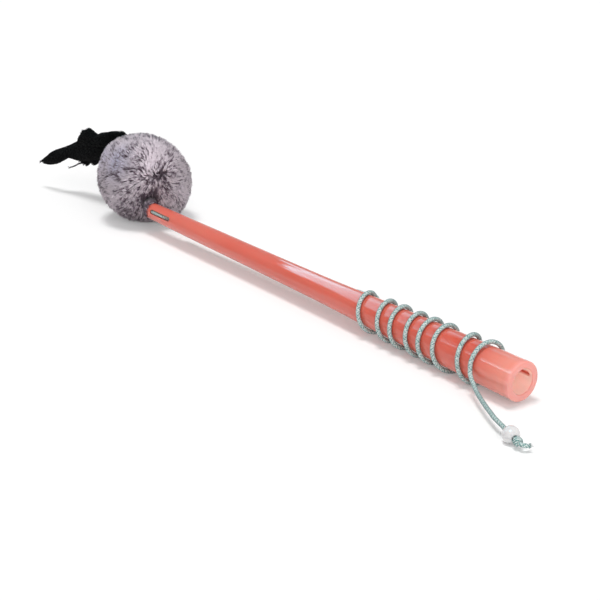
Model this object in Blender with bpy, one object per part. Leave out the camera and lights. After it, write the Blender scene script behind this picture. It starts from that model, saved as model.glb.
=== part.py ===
"""Dog teaser wand: a hollow tapered handle, its line, and a plush lure with a tail.

The wand lies as it is stored. Its line is tied to the lure, passes through the
closed tip and the tip's slot, runs back along the wand, is wound round the thick
end and finishes in a free end with a bead. The thick end rests on the winding and
the tip rests on the lure, so the wand slopes a little.

Metres, +Z up, floor at z = 0. The butt of the wand points to +X.
"""

import math

import bpy
import bmesh
from mathutils import Matrix, Vector

MM = 0.001

# Whole object
HALF_LENGTH = 426.5 * MM          # butt face to origin, and origin to the tail's tip
WAND_OFFSET_Y = -23.9 * MM        # wand's axis beside the lure's centre plane

# Wand: stations along the axis from the butt face, with the outer radius there
WAND_LENGTH = 607.0 * MM
OUTER_RADII = [(0, 18.5), (60, 17.8), (110, 16.9), (160, 15.9), (210, 14.7), (270, 13.1),
               (350, 12.1), (450, 11.2), (550, 10.3), (597, 9.6)]
DOME_LENGTH = 10.0 * MM           # rounded tip
RIM_FILLET = 1.6 * MM
LIP_FILLET = 1.1 * MM
BORE_RADIUS = 12.0 * MM
BORE_STRAIGHT = 40.0 * MM         # the bore keeps its radius this far in
BORE_END = 532.0 * MM
WALL_AT_TIP = 4.2 * MM
KEYWAY_WIDTH = 5.0 * MM
KEYWAY_DEPTH = 3.6 * MM
KEYWAY_FROM, KEYWAY_TO = 4.0 * MM, 44.0 * MM
KEYWAY_ANGLE = math.radians(12)   # above the +Y side
SLOT_FROM, SLOT_TO = 547.0 * MM, 589.5 * MM
SLOT_WIDTH = 5.0 * MM
SLOT_ANGLE = math.radians(22)     # the slot's visible mouth, above the -Y side
END_HOLE_RADIUS = 2.4 * MM
END_HOLE_RISE = 0.35                # the hole climbs this much towards the slot's visible mouth
WAND_SIDES = 40

# Line
LINE_RADIUS = 2.0 * MM
GAP = 0.3 * MM                    # between faces that touch on the real object
FLAT_DEPTH = 0.4 * MM             # the turns are pressed flat on the floor this much
TIP_AXIS_HEIGHT = 27.0 * MM
REST_STATION = 55.0 * MM          # where the thick end stands on its winding
NEAR_STATIONS = [43.5, 60.0, 93.0, 113.0, 130.5, 153.0, 171.0, 199.5]   # turns at the -Y side, mm
TURN_SLACK_SIDE = 0.5 * MM
TURN_SLACK_TOP = [(0.25, 1.7), (1.25, 1.1), (2.25, 0.5), (7.25, 0.4)]   # by turn from the butt, mm
TURN_SLACK_BOTTOM = 0.9 * MM
# How far the far side of each turn leans towards the butt, by turn, mm
FAR_LEAN = [(0.5, 6.0), (1.5, 1.5), (2.5, 2.5), (3.5, 0.0), (4.5, -0.8), (5.5, -2.0), (6.5, -1.5), (7.5, 0.5)]
POINTS_PER_TURN = 24
WINDING_START_ANGLE = math.radians(30)
WINDING_END_ANGLE = math.radians(7 * 360 + 140)

# Bead and knots on the free end
BEAD_RADIUS = 7.5 * MM
BEAD_HOLE_RADIUS = 2.5 * MM
BEAD_CENTRE = Vector((472.2, -83.8, 7.5)) * MM
FREE_DIRECTION = Vector((0.955, -0.285, -0.08)).normalized()
KNOT_RADIUS = 4.1 * MM
KNOT_LENGTH = 6.6 * MM

# Lure
LURE_CENTRE = Vector((-225.9, 0.0, 50.5)) * MM
LURE_RADIUS = 52.5 * MM
LURE_SQUASH = 0.99                # height over width of the plush body
SKIN_INNER_RADIUS = 45.0 * MM
STUFFING_RADIUS = 44.7 * MM
PIVOT_GAP = 2.3 * MM              # from the tip's end to the line's bend
BEND_RADIUS = 1.9 * MM
TETHER_KNOT_RADIUS = 5.2 * MM
TAIL_ROOT_RADIUS = 8.0 * MM
TAIL_ROOT_DISTANCE = 57.5 * MM    # from the lure's centre to the tail's hinge


def clear_scene():
    """Remove every object, so the script can be run again in one session."""
    for thing in list(bpy.data.objects):
        bpy.data.objects.remove(thing, do_unlink=True)


def finish(name, colour, roughness, metallic=0.0, alpha=1.0):
    """Make a material with one Principled BSDF."""
    made = bpy.data.materials.new(name)
    made.use_nodes = True
    shader = made.node_tree.nodes["Principled BSDF"]
    shader.inputs["Base Color"].default_value = (*colour, 1.0)
    shader.inputs["Roughness"].default_value = roughness
    shader.inputs["Metallic"].default_value = metallic
    shader.inputs["Alpha"].default_value = alpha
    made.diffuse_color = (*colour, alpha)
    return made


def add_object(name, data, material, parent=None):
    """Link an object with its material, and smooth it if it is a mesh."""
    made = bpy.data.objects.new(name, data)
    bpy.context.scene.collection.objects.link(made)
    data.materials.append(material)
    made.parent = parent
    if made.type == "MESH":
        data.shade_smooth()
        data.set_sharp_from_angle(angle=math.radians(35))
    return made


def add_empty(name, location, rotation=None, parent=None):
    """Place an empty, for instance on a joint's axis."""
    made = bpy.data.objects.new(name, None)
    bpy.context.scene.collection.objects.link(made)
    made.parent = parent
    made.location = location
    if rotation is not None:
        made.rotation_mode = "QUATERNION"
        made.rotation_quaternion = rotation
    return made


def arc(centre, radius, start, end, steps):
    """Points of an arc in the profile plane, as (along, out) pairs."""
    points = []
    for step in range(steps + 1):
        angle = math.radians(start + (end - start) * step / steps)
        points.append((centre[0] + radius * math.cos(angle), centre[1] + radius * math.sin(angle)))
    return points


def turned_mesh(name, profile, sides, closed=False):
    """Spin a profile of (along X, radius) pairs round the X axis."""
    shape = bmesh.new()
    corners = [shape.verts.new((along, 0.0, out)) for along, out in profile]
    edges = [shape.edges.new(pair) for pair in zip(corners, corners[1:])]
    if closed:
        edges.append(shape.edges.new((corners[-1], corners[0])))
    bmesh.ops.spin(shape, geom=corners + edges, cent=(0, 0, 0), axis=(1, 0, 0),
                   angle=2 * math.pi, steps=sides, use_merge=True, use_duplicate=False)
    bmesh.ops.remove_doubles(shape, verts=shape.verts, dist=0.00001)
    bmesh.ops.recalc_face_normals(shape, faces=shape.faces)
    mesh = bpy.data.meshes.new(name)
    shape.to_mesh(mesh)
    shape.free()
    return mesh


def box_mesh(name, low, high):
    """Make a plain box between two corners."""
    shape = bmesh.new()
    size = Vector(high) - Vector(low)
    middle = (Vector(high) + Vector(low)) / 2
    bmesh.ops.create_cube(shape, size=1.0, matrix=Matrix.Translation(middle) @ Matrix.Diagonal((*size, 1.0)))
    mesh = bpy.data.meshes.new(name)
    shape.to_mesh(mesh)
    shape.free()
    return mesh


def rounded_slot_mesh(name, along_from, along_to, width, out_from, out_to):
    """Make a slot cutter: a stadium in the XY plane, extruded along Z."""
    half = width / 2
    shape = bmesh.new()
    outline = arc((along_to - half, 0.0), half, -90, 90, 10) + arc((along_from + half, 0.0), half, 90, 270, 10)
    face = shape.faces.new([shape.verts.new((along, across, out_from)) for along, across in outline])
    grown = bmesh.ops.extrude_face_region(shape, geom=[face])
    top = [item for item in grown["geom"] if isinstance(item, bmesh.types.BMVert)]
    bmesh.ops.translate(shape, verts=top, vec=(0, 0, out_to - out_from))
    bmesh.ops.recalc_face_normals(shape, faces=shape.faces)
    mesh = bpy.data.meshes.new(name)
    shape.to_mesh(mesh)
    shape.free()
    return mesh


def add_cutter(name, mesh, parent=None):
    """Link a mesh that only cuts others, hidden and drawn as wire."""
    made = bpy.data.objects.new(name, mesh)
    bpy.context.scene.collection.objects.link(made)
    made.parent = parent
    made.hide_render = True
    made.display_type = "WIRE"
    return made


def combine(target, other, operation="DIFFERENCE"):
    """Add an exact Boolean modifier that cuts or joins another object."""
    modifier = target.modifiers.new(other.name, "BOOLEAN")
    modifier.operation = operation
    modifier.solver = "EXACT"
    modifier.object = other


def along_table(table, station):
    """Read a smooth curve through (station, value) pairs."""
    stations = [pair[0] for pair in table]
    values = [pair[1] for pair in table]
    last = len(table) - 1
    station = min(max(station, stations[0]), stations[-1])
    index = min(max(sum(1 for value in stations if value <= station) - 1, 0), last - 1)

    def slope(at):
        low, high = max(at - 1, 0), min(at + 1, last)
        return (values[high] - values[low]) / (stations[high] - stations[low])

    span = stations[index + 1] - stations[index]
    part = (station - stations[index]) / span
    square, cube = part * part, part ** 3
    return ((2 * cube - 3 * square + 1) * values[index] + (cube - 2 * square + part) * span * slope(index)
            + (3 * square - 2 * cube) * values[index + 1] + (cube - square) * span * slope(index + 1))


def smooth_route(points, spacing, straight=False):
    """Read points at an even spacing from a smooth curve through a route's own points.

    A straight route keeps its first and last stretch as they are, square to what they meet.
    """
    route = [Vector(point) for point in points]
    if straight:
        ends = route
    else:
        ends = [2 * route[0] - route[1]] + route + [2 * route[-1] - route[-2]]
    fine = []
    for before, start, end, after in zip(ends, ends[1:], ends[2:], ends[3:]):
        for step in range(16):
            part = step / 16
            fine.append(0.5 * (2 * start + (end - before) * part
                               + (2 * before - 5 * start + 4 * end - after) * part ** 2
                               + (3 * start - before - 3 * end + after) * part ** 3))
    fine.append(ends[-2])
    lengths = [0.0]
    for start, end in zip(fine, fine[1:]):
        lengths.append(lengths[-1] + (end - start).length)
    count = max(2, round(lengths[-1] / spacing))
    picked, index = [], 0
    for step in range(count + 1):
        wanted = lengths[-1] * step / count
        while index < len(fine) - 2 and lengths[index + 1] < wanted:
            index += 1
        part = (wanted - lengths[index]) / max(lengths[index + 1] - lengths[index], 1e-9)
        picked.append(fine[index].lerp(fine[index + 1], min(max(part, 0.0), 1.0)))
    return [route[0]] + picked + [route[-1]] if straight else picked


def tube_curve(name, points, radius, resolution):
    """Make a round tube as a bevelled curve with filled caps."""
    curve = bpy.data.curves.new(name, "CURVE")
    curve.dimensions = "3D"
    curve.bevel_depth = radius
    curve.bevel_resolution = resolution
    curve.use_fill_caps = True
    spline = curve.splines.new("POLY")
    spline.points.add(len(points) - 1)
    for place, point in zip(spline.points, points):
        place.co = (*point, 1.0)
    spline.use_smooth = True
    return curve


def route_length(points):
    """Length of a chain of points."""
    return sum((end - start).length for start, end in zip(points, points[1:]))


def outer_radius(station):
    """Wand's outer radius at a station from the butt, both in metres."""
    return along_table(OUTER_RADII, station / MM) * MM


REST_HEIGHT = outer_radius(REST_STATION) + GAP + 2 * LINE_RADIUS - FLAT_DEPTH
SLOPE = math.atan((TIP_AXIS_HEIGHT - REST_HEIGHT) / (WAND_LENGTH - REST_STATION))
BUTT_HEIGHT = REST_HEIGHT - REST_STATION * math.tan(SLOPE)
BUTT = Vector((HALF_LENGTH, WAND_OFFSET_Y, BUTT_HEIGHT))
WAND_FRAME = Matrix.Translation(BUTT) @ Matrix.Rotation(SLOPE, 4, "Y")
PIVOT = WAND_FRAME @ Vector((-WAND_LENGTH - PIVOT_GAP, 0, 0))
LURE_AXIS = (LURE_CENTRE - PIVOT).normalized()
TAIL_HINGE = LURE_CENTRE + TAIL_ROOT_DISTANCE * LURE_AXIS


def bore_radius(station):
    """Bore's radius at a station: straight at the butt, then tapering with the wand."""
    if station <= BORE_STRAIGHT:
        return BORE_RADIUS
    wall_at_start = outer_radius(BORE_STRAIGHT) - BORE_RADIUS
    part = (station - BORE_STRAIGHT) / (BORE_END - BORE_STRAIGHT)
    wall = wall_at_start + (WALL_AT_TIP - wall_at_start) * math.sin(part * math.pi / 2)
    return outer_radius(station) - wall


def wand_profile():
    """Profile of the wand from the bore's blind end, out round the rim, to the tip."""
    end_radius = bore_radius(BORE_END)
    profile = [(-BORE_END - end_radius, 0.0)]
    profile += [(-BORE_END - end_radius * math.cos(math.radians(turn)), end_radius * math.sin(math.radians(turn)))
                for turn in (25, 50, 75)]
    for station in (530, 450, 370, 290, 220, 160, 110, 70, 40, 12):
        profile.append((-station * MM, bore_radius(station * MM)))
    lip = arc((-LIP_FILLET, BORE_RADIUS + LIP_FILLET), LIP_FILLET, -90, 0, 4)
    rim = arc((-RIM_FILLET, outer_radius(0) - RIM_FILLET), RIM_FILLET, 0, 90, 5)
    profile += lip + rim
    for station in (20, 45, 75, 105, 135, 165, 195, 220, 245, 270, 300, 335, 380, 430, 480, 530, 565, 597):
        profile.append((-station * MM, outer_radius(station * MM)))
    dome_start = WAND_LENGTH - DOME_LENGTH
    base = outer_radius(dome_start)
    for turn in (18, 36, 54, 70, 82):
        angle = math.radians(turn)
        profile.append((-dome_start - DOME_LENGTH * math.sin(angle), base * math.cos(angle)))
    profile.append((-WAND_LENGTH, 0.0))
    return profile


def build_wand(axis_empty, plastic):
    """Hollow tapered wand with its blind bore, keyway, tip hole and through slot."""
    wand = add_object("wand_tube", turned_mesh("wand_tube", wand_profile(), WAND_SIDES), plastic, axis_empty)

    slot = add_cutter("slot_cutter", rounded_slot_mesh("slot_cutter", -SLOT_TO, -SLOT_FROM, SLOT_WIDTH,
                                                       -20 * MM, 20 * MM), axis_empty)
    slot.rotation_euler = (math.pi / 2 - SLOT_ANGLE, 0, 0)
    combine(wand, slot)

    keyway = add_cutter("keyway_cutter", rounded_slot_mesh("keyway_cutter", -KEYWAY_TO, -KEYWAY_FROM, KEYWAY_WIDTH,
                                                           BORE_RADIUS / 2, BORE_RADIUS + KEYWAY_DEPTH), axis_empty)
    keyway.rotation_euler = (KEYWAY_ANGLE - math.pi / 2, 0, 0)
    combine(wand, keyway)

    start, end = -3 * MM, WAND_LENGTH - SLOT_TO + 0.9 * SLOT_WIDTH
    drill = [(start, 0.0), (start, END_HOLE_RADIUS), (end, END_HOLE_RADIUS), (end, 0.0)]
    hole = add_cutter("end_hole_cutter", turned_mesh("end_hole_cutter", drill, 16), axis_empty)
    inward = Vector((1, -END_HOLE_RISE * math.cos(SLOT_ANGLE), END_HOLE_RISE * math.sin(SLOT_ANGLE)))
    hole.location = (-WAND_LENGTH, 0, 0)
    hole.rotation_euler = Vector((1, 0, 0)).rotation_difference(inward).to_euler()
    combine(wand, hole)
    return wand


def slot_point(station, offset):
    """Point in the wand's frame at a station, offset along the slot towards its visible mouth."""
    return Vector((-station * MM, -math.cos(SLOT_ANGLE) * offset * MM, math.sin(SLOT_ANGLE) * offset * MM))


# The line in the tip: (station, offset towards the slot's visible mouth), in mm
SLOT_ROUTE = [(607.0, 0.0), (601.0, 2.1), (595.0, 4.2), (590.4, 5.81), (585.6, 6.95), (580.5, 7.2), (575.5, 7.2),
              (570.0, 7.2), (564.8, 6.7), (559.8, 5.0), (556.4, 2.1), (554.5, -1.4), (554.0, -5.1),
              (553.3, -8.3), (551.6, -10.8), (548.9, -12.5), (545.6, -13.1), (541.6, -13.1), (537.6, -13.1)]
# The line along the wand's far side: (station, gap to the wand, angle above the +Y side), in mm and degrees
BACK_ROUTE = [(537.3, 0.8, -22), (520, 0.7, -22), (490, 0.9, -20), (450, 0.8, -16), (405, 1.0, -11), (360, 0.8, -5),
              (315, 0.9, 0), (280, 0.8, 5), (255, 0.8, 11), (238, 0.9, 19)]


def winding_station(turn_angle):
    """Station of the winding at an angle counted from the last turn's -Y side, upwards."""
    turns = [(index, station) for index, station in enumerate(NEAR_STATIONS)]
    turns.append((len(turns), 2 * NEAR_STATIONS[-1] - NEAR_STATIONS[-2] + 6.0))
    turn = turn_angle / (2 * math.pi)
    lean = along_table(FAR_LEAN, turn) * (1 - math.cos(turn_angle)) / 2
    return (along_table(turns, turn) - lean) * MM


def axis_height(station):
    """Height of the wand's axis above the floor at a station."""
    return BUTT_HEIGHT + station * math.tan(SLOPE)


def winding_point(turn_angle):
    """Point on the winding's centre line, in the wand's frame."""
    station = winding_station(turn_angle)
    up = math.sin(turn_angle)
    room_below = axis_height(station) - outer_radius(station) - 2 * LINE_RADIUS + FLAT_DEPTH
    below = min(max(room_below, GAP), TURN_SLACK_BOTTOM)
    if up > 0:
        above = along_table(TURN_SLACK_TOP, turn_angle / (2 * math.pi)) * MM
        slack = TURN_SLACK_SIDE + (above - TURN_SLACK_SIDE) * up
    else:
        slack = TURN_SLACK_SIDE + (below - TURN_SLACK_SIDE) * up * up
    out = outer_radius(station) + LINE_RADIUS + slack
    return Vector((-station, -out * math.cos(turn_angle), out * up))


def winding_points():
    """Centre line of the winding, with a straight bit as long as the line is thick at each end."""
    swept = WINDING_END_ANGLE - WINDING_START_ANGLE
    count = round(swept / (2 * math.pi) * POINTS_PER_TURN)
    points = [winding_point(WINDING_START_ANGLE + swept * step / count) for step in range(count + 1)]
    first = (points[0] - points[1]).normalized()
    last = (points[-1] - points[-2]).normalized()
    return ([points[0] + 2 * LINE_RADIUS * first] + points + [points[-1] + 2 * LINE_RADIUS * last])


def least_gap(points, radius, ignore):
    """Least gap between parts of one tube that are more than some points apart."""
    least = math.inf
    for index, point in enumerate(points):
        for other in points[index + ignore:]:
            least = min(least, (other - point).length - 2 * radius)
    return least


def build_line_on_wand(axis_empty, braid, floor):
    """The line's stretches that move with the wand: in the tip, behind it, wound, and free."""
    in_slot = smooth_route([slot_point(*pair) for pair in SLOT_ROUTE], 2.6 * MM)
    add_object("line_in_slot", tube_curve("line_in_slot", in_slot, LINE_RADIUS, 2), braid, axis_empty)

    winding = winding_points()
    tube = add_object("winding_curve", tube_curve("winding_curve", winding, LINE_RADIUS, 1), braid, axis_empty)
    bpy.context.view_layer.update()
    evaluated = tube.evaluated_get(bpy.context.evaluated_depsgraph_get())
    mesh = bpy.data.meshes.new_from_object(evaluated)
    mesh.name = "line_winding"
    bpy.data.objects.remove(tube, do_unlink=True)
    wound = add_object("line_winding", mesh, braid, axis_empty)
    combine(wound, floor)
    print("line_winding: least gap to itself %.2f mm" % (least_gap(winding, LINE_RADIUS, 12) / MM))

    inverse = WAND_FRAME.inverted()
    outward = (winding[-1] - winding[-2]).normalized()
    join = winding[-1] + GAP * outward
    back = []
    for station, gap, angle in reversed(BACK_ROUTE):
        out = outer_radius(station * MM) + LINE_RADIUS + gap * MM
        turn = math.radians(angle)
        back.append(Vector((-station * MM, out * math.cos(turn), out * math.sin(turn))))
    onward = (in_slot[-1] - in_slot[-2]).normalized()
    meet = in_slot[-1] + GAP * onward
    back = [join, join + 4 * MM * outward] + back[:-1] + [meet + 4 * MM * onward, meet]
    back = smooth_route(back, 5 * MM, straight=True)
    add_object("line_back_run", tube_curve("line_back_run", back, LINE_RADIUS, 2), braid, axis_empty)

    downward = (winding[0] - winding[1]).normalized()
    start = winding[0] + GAP * downward
    knot_face = BEAD_CENTRE + FREE_DIRECTION * (BEAD_RADIUS + GAP)
    route = [WAND_FRAME @ start, WAND_FRAME @ (start + 3 * MM * downward)]
    route += [Vector(point) * MM for point in FREE_ROUTE]
    route += [BEAD_CENTRE - FREE_DIRECTION * 28 * MM, BEAD_CENTRE - FREE_DIRECTION * 18 * MM,
              BEAD_CENTRE - FREE_DIRECTION * 8 * MM, knot_face]
    free = smooth_route(route, 5 * MM, straight=True)
    local = [inverse @ point for point in free]
    add_object("line_free_end", tube_curve("line_free_end", local, LINE_RADIUS, 2), braid, axis_empty)

    pieces = {"in the slot": in_slot, "back run": back, "winding": winding, "free end": free}
    for label, points in pieces.items():
        print("line, %s: %.0f mm" % (label, route_length(points) / MM))


# The free end between the last turn and the straight stretch at the bead, in mm, on the floor's frame
FREE_ROUTE = [(383.3, -45.0, 24.4), (385.6, -46.4, 18.9), (391.4, -48.6, 14.6), (402.3, -54.4, 11.6),
              (413.6, -60.4, 10.8), (425.6, -66.6, 10.4), (436.2, -71.6, 10.1)]


# The cut stub from where it leaves the stop knot, in mm
STUB_ROUTE = [(0, 0, 0), (1.2, 0.15, -0.15), (2.9, 1.0, -0.45), (4.3, 2.7, -0.8), (5.4, 4.9, -1.1)]


def along_axis(direction):
    """Rotation that turns the X axis to a direction."""
    return Vector((1, 0, 0)).rotation_difference(Vector(direction))


def knot_profile(length, radius, wraps):
    """Profile of a barrel knot: one round ridge for each wrap of the line."""
    pitch = length / wraps
    ridge = pitch / 2
    profile = [(0.0, 0.0)]
    for wrap in range(wraps):
        centre = ((wrap + 0.5) * pitch, radius - ridge)
        profile += arc(centre, ridge, 165, 15, 6)
    profile.append((length, 0.0))
    return profile


def build_bead_and_knot(braid, pearl, axis_empty):
    """Bead on the free end, the stop knot behind it, and the line's short cut end."""
    turn = along_axis(FREE_DIRECTION)
    slide = add_empty("bead_slide_axis", BEAD_CENTRE, turn, None)
    half_hole = math.degrees(math.asin((BEAD_HOLE_RADIUS + 0.5 * MM) / BEAD_RADIUS))
    profile = arc((0, 0), BEAD_RADIUS, 180 - half_hole, half_hole, 14)
    reach = BEAD_RADIUS * math.cos(math.radians(half_hole))
    profile += [(reach - 0.5 * MM, BEAD_HOLE_RADIUS), (-reach + 0.5 * MM, BEAD_HOLE_RADIUS)]
    add_object("line_bead", turned_mesh("line_bead", profile, 28, closed=True), pearl, slide)

    knot_start = BEAD_CENTRE + FREE_DIRECTION * (BEAD_RADIUS + 2 * GAP)
    knot = add_object("line_stop_knot", turned_mesh("line_stop_knot", knot_profile(KNOT_LENGTH, KNOT_RADIUS, 3), 20),
                      braid)
    knot.location = knot_start
    knot.rotation_mode = "QUATERNION"
    knot.rotation_quaternion = turn

    stub_start = knot_start + FREE_DIRECTION * (KNOT_LENGTH + 3 * GAP)
    stub = smooth_route([stub_start + Vector(offset) * MM for offset in STUB_ROUTE], 1.6 * MM, straight=True)
    add_object("line_cut_end", tube_curve("line_cut_end", stub, 0.95 * LINE_RADIUS, 2), braid)


def build_tether(braid):
    """The line's bend outside the tip, and the short tether to its knot in the lure's mouth."""
    turn = along_axis(LURE_AXIS)
    swing = add_empty("lure_swing_axis", PIVOT)
    ball = arc((0, 0), BEND_RADIUS, 180, 0, 8)
    ball[0], ball[-1] = (-BEND_RADIUS, 0.0), (BEND_RADIUS, 0.0)
    add_object("line_bend", turned_mesh("line_bend", ball, 14), braid, swing)

    lift = add_empty("lure_lift_axis", PIVOT, turn)
    knot_from = (LURE_CENTRE - PIVOT).length - STUFFING_RADIUS + 0.8 * MM
    start = BEND_RADIUS + GAP
    stretch = [(start, 0.0), (start, LINE_RADIUS), (knot_from - GAP, LINE_RADIUS), (knot_from - GAP, 0.0)]
    add_object("line_tether", turned_mesh("line_tether", stretch, 14), braid, lift)
    knot = add_object("tether_knot", turned_mesh("tether_knot", knot_profile(9 * MM, TETHER_KNOT_RADIUS, 3), 18),
                      braid, lift)
    knot.location = (knot_from, 0, 0)


# Plush folds, and bulges with a negative depth: direction from the lure's centre, depth in mm, half-width in degrees
LURE_FOLDS = [((0.829, -0.383, 0.408), 3.6, 15), ((0.60, -0.72, 0.35), 1.6, 11), ((0.96, -0.27, 0.02), 1.6, 12),
              ((0.55, -0.60, -0.58), 1.8, 16), ((-0.10, -0.86, 0.50), 1.6, 15), ((0.35, -0.45, 0.82), 1.4, 14),
              ((0.70, 0.55, 0.45), 1.8, 16), ((-0.35, 0.55, 0.75), 1.6, 16), ((-0.55, -0.70, -0.40), 1.8, 16),
              ((-0.65, -0.50, 0.58), -5.6, 30), ((0.63, 0.42, -0.65), -5.6, 26), ((0.12, 0.63, 0.77), 3.0, 30),
              ((-0.53, -0.82, -0.19), -2.5, 28), ((0.61, 0.80, 0.0), -1.9, 28)]
MOUTH_DIMPLE = (5.3, 20)
TAIL_DIMPLE = (3.5, 17)


def lure_radius(direction):
    """Distance from the lure's centre to its surface: a ball with draws and shallow folds."""
    folds = LURE_FOLDS + [(-LURE_AXIS, *MOUTH_DIMPLE), (LURE_AXIS, *TAIL_DIMPLE)]
    radius = LURE_RADIUS
    for toward, depth, spread in folds:
        angle = math.degrees(direction.angle(Vector(toward)))
        radius -= depth * MM * math.exp(-((angle / spread) ** 2))
    return radius


def build_lure(fur, fill, tie_thread, clear_plastic, floor):
    """Plush body: drawn-in skin, stuffing, the squeaker inside and the thread at the mouth."""
    turn = along_axis(LURE_AXIS)
    twist = add_empty("lure_twist_axis", PIVOT, turn)
    centre = add_empty("lure_centre", ((LURE_CENTRE - PIVOT).length, 0, 0), parent=twist)

    shape = bmesh.new()
    bmesh.ops.create_icosphere(shape, subdivisions=4, radius=1.0)
    to_local = turn.to_matrix().transposed()
    for vert in shape.verts:
        direction = vert.co.normalized()
        point = direction * lure_radius(direction)
        point.z *= LURE_SQUASH
        vert.co = to_local @ point
    skin_mesh = bpy.data.meshes.new("lure_skin")
    shape.to_mesh(skin_mesh)
    shape.free()
    skin = add_object("lure_skin", skin_mesh, fur, centre)

    mouth = LINE_RADIUS + 0.7 * MM
    start = math.degrees(math.asin(mouth / SKIN_INNER_RADIUS))
    hollow = [(-LURE_RADIUS - 5 * MM, 0.0), (-LURE_RADIUS - 5 * MM, mouth)]
    hollow += arc((0, 0), SKIN_INNER_RADIUS, 180 - start, 0, 20)
    hollow[-1] = (SKIN_INNER_RADIUS, 0.0)
    combine(skin, add_cutter("skin_hollow", turned_mesh("skin_hollow", hollow, 32), centre))
    combine(skin, floor)

    pocket, channel, cavity = 6.4 * MM, 3.0 * MM, 20.8 * MM
    pocket_floor, cavity_front, cavity_back = 33 * MM, 13.4 * MM, 11.4 * MM
    open_angle = math.degrees(math.asin(pocket / STUFFING_RADIUS))
    fill_profile = arc((0, 0), STUFFING_RADIUS, 0, 180 - open_angle, 20)
    fill_profile[0] = (STUFFING_RADIUS, 0.0)
    fill_profile += [(-pocket_floor, pocket), (-pocket_floor, channel), (-cavity_front, channel),
                     (-cavity_front, cavity - 6 * MM), (-cavity_front + 5 * MM, cavity), (cavity_back - 5 * MM, cavity),
                     (cavity_back, cavity - 6 * MM), (cavity_back, 0.0)]
    add_object("lure_stuffing", turned_mesh("lure_stuffing", fill_profile, 32), fill, centre)

    thickness, width, wall, throat = 10.8 * MM, 20.2 * MM, 1.0 * MM, 5.0 * MM
    outer = [(width * 0.0, 0.0)]
    outer = [(thickness * math.cos(math.radians(a)) ** 1, width * math.sin(math.radians(a)))
             for a in (0, 15, 30, 45, 60, 75, 90, 105, 120, 135, 150, 165)]
    inner = [((thickness - wall) * math.cos(math.radians(a)), (width - wall) * math.sin(math.radians(a)))
             for a in (165, 150, 135, 120, 105, 90, 75, 60, 45, 30, 15, 0)]
    outer[0], inner[-1] = (thickness, 0.0), (thickness - wall, 0.0)
    add_object("squeaker_bladder", turned_mesh("squeaker_bladder", outer + inner, 24), clear_plastic, centre)

    reed_front, reed_back, bore = 13.0 * MM, 8.2 * MM, 1.3 * MM
    neck = throat - 0.5 * MM
    reed = [(-reed_back, bore), (-reed_back, neck - 0.6 * MM), (-11.0 * MM, neck - 0.6 * MM), (-11.0 * MM, 6.4 * MM),
            (-12.2 * MM, 6.4 * MM), (-reed_front, neck), (-reed_front, bore)]
    add_object("squeaker_reed", turned_mesh("squeaker_reed", reed, 18, closed=True), clear_plastic, centre)

    ring_out, ring_wire = 4.6 * MM, 1.1 * MM
    seat = lure_radius(-LURE_AXIS) + GAP + ring_wire + 0.5 * MM
    ring = [(-seat + ring_wire * math.cos(a * math.pi / 5), ring_out + ring_wire * math.sin(a * math.pi / 5))
            for a in range(10)]
    add_object("lure_mouth_tie", turned_mesh("lure_mouth_tie", ring, 20, closed=True), tie_thread, centre)
    return centre


# Tail lobes: points from the tail's hinge and the lobe's half-thickness there, in mm
TAIL_LONG = [((0, 0, 0), 5.0), ((-10, -6, 2), 6.6), ((-24, -17, 1.5), 11.0), ((-42, -27, -3), 14.5),
             ((-64, -35, -9), 13.6), ((-92, -44, -16.5), 10.2), ((-122, -53, -29), 7.0), ((-144, -58, -38.5), 4.2),
             ((-154, -61, -43), 1.2)]
TAIL_UPPER = [((-18, -14, 6), 6.0), ((-32, -26, 10), 10.0), ((-46, -35, 9.5), 10.6), ((-58, -39, 11), 8.0),
              ((-67, -43, 15.5), 4.6), ((-72, -46, 19), 1.2)]
TAIL_LOWER = [((-24, -14, -4), 6.0), ((-40, -25, -12), 9.4), ((-56, -32, -19), 8.6), ((-72, -38, -26), 5.2),
              ((-84, -44, -32), 1.2)]
TAIL_BACK = [((-20, -8, -1), 6.0), ((-40, -14, -7), 9.6), ((-62, -19, -16), 8.8), ((-84, -26, -26), 5.8),
             ((-104, -34, -36), 1.2)]


def lobe_mesh(name, lobe, sides=10, flatten=0.8):
    """Loft a tapering lobe with round ends along its route."""
    route = [Vector(point) * MM for point, _ in lobe]
    table = [(index, radius) for index, (_, radius) in enumerate(lobe)]
    count = 2 * (len(lobe) - 1)
    shape = bmesh.new()
    rings = []
    for step in range(count + 1):
        place = step / 2
        index = min(int(place), len(route) - 2)
        centre = route[index].lerp(route[index + 1], place - index)
        ahead = (route[index + 1] - route[index]).normalized()
        side = ahead.cross(Vector((0, 0, 1))).normalized()
        above = side.cross(ahead)
        radius = along_table(table, place) * MM
        ring = []
        for corner in range(sides):
            angle = 2 * math.pi * corner / sides
            offset = side * math.cos(angle) * radius * flatten + above * math.sin(angle) * radius
            ring.append(shape.verts.new(centre + offset))
        rings.append(ring)
    for low, high in zip(rings, rings[1:]):
        for corner in range(sides):
            after = (corner + 1) % sides
            shape.faces.new((low[corner], low[after], high[after], high[corner]))
    shape.faces.new(rings[0])
    shape.faces.new(rings[-1])
    bmesh.ops.recalc_face_normals(shape, faces=shape.faces)
    mesh = bpy.data.meshes.new(name)
    shape.to_mesh(mesh)
    shape.free()
    return mesh


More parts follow.
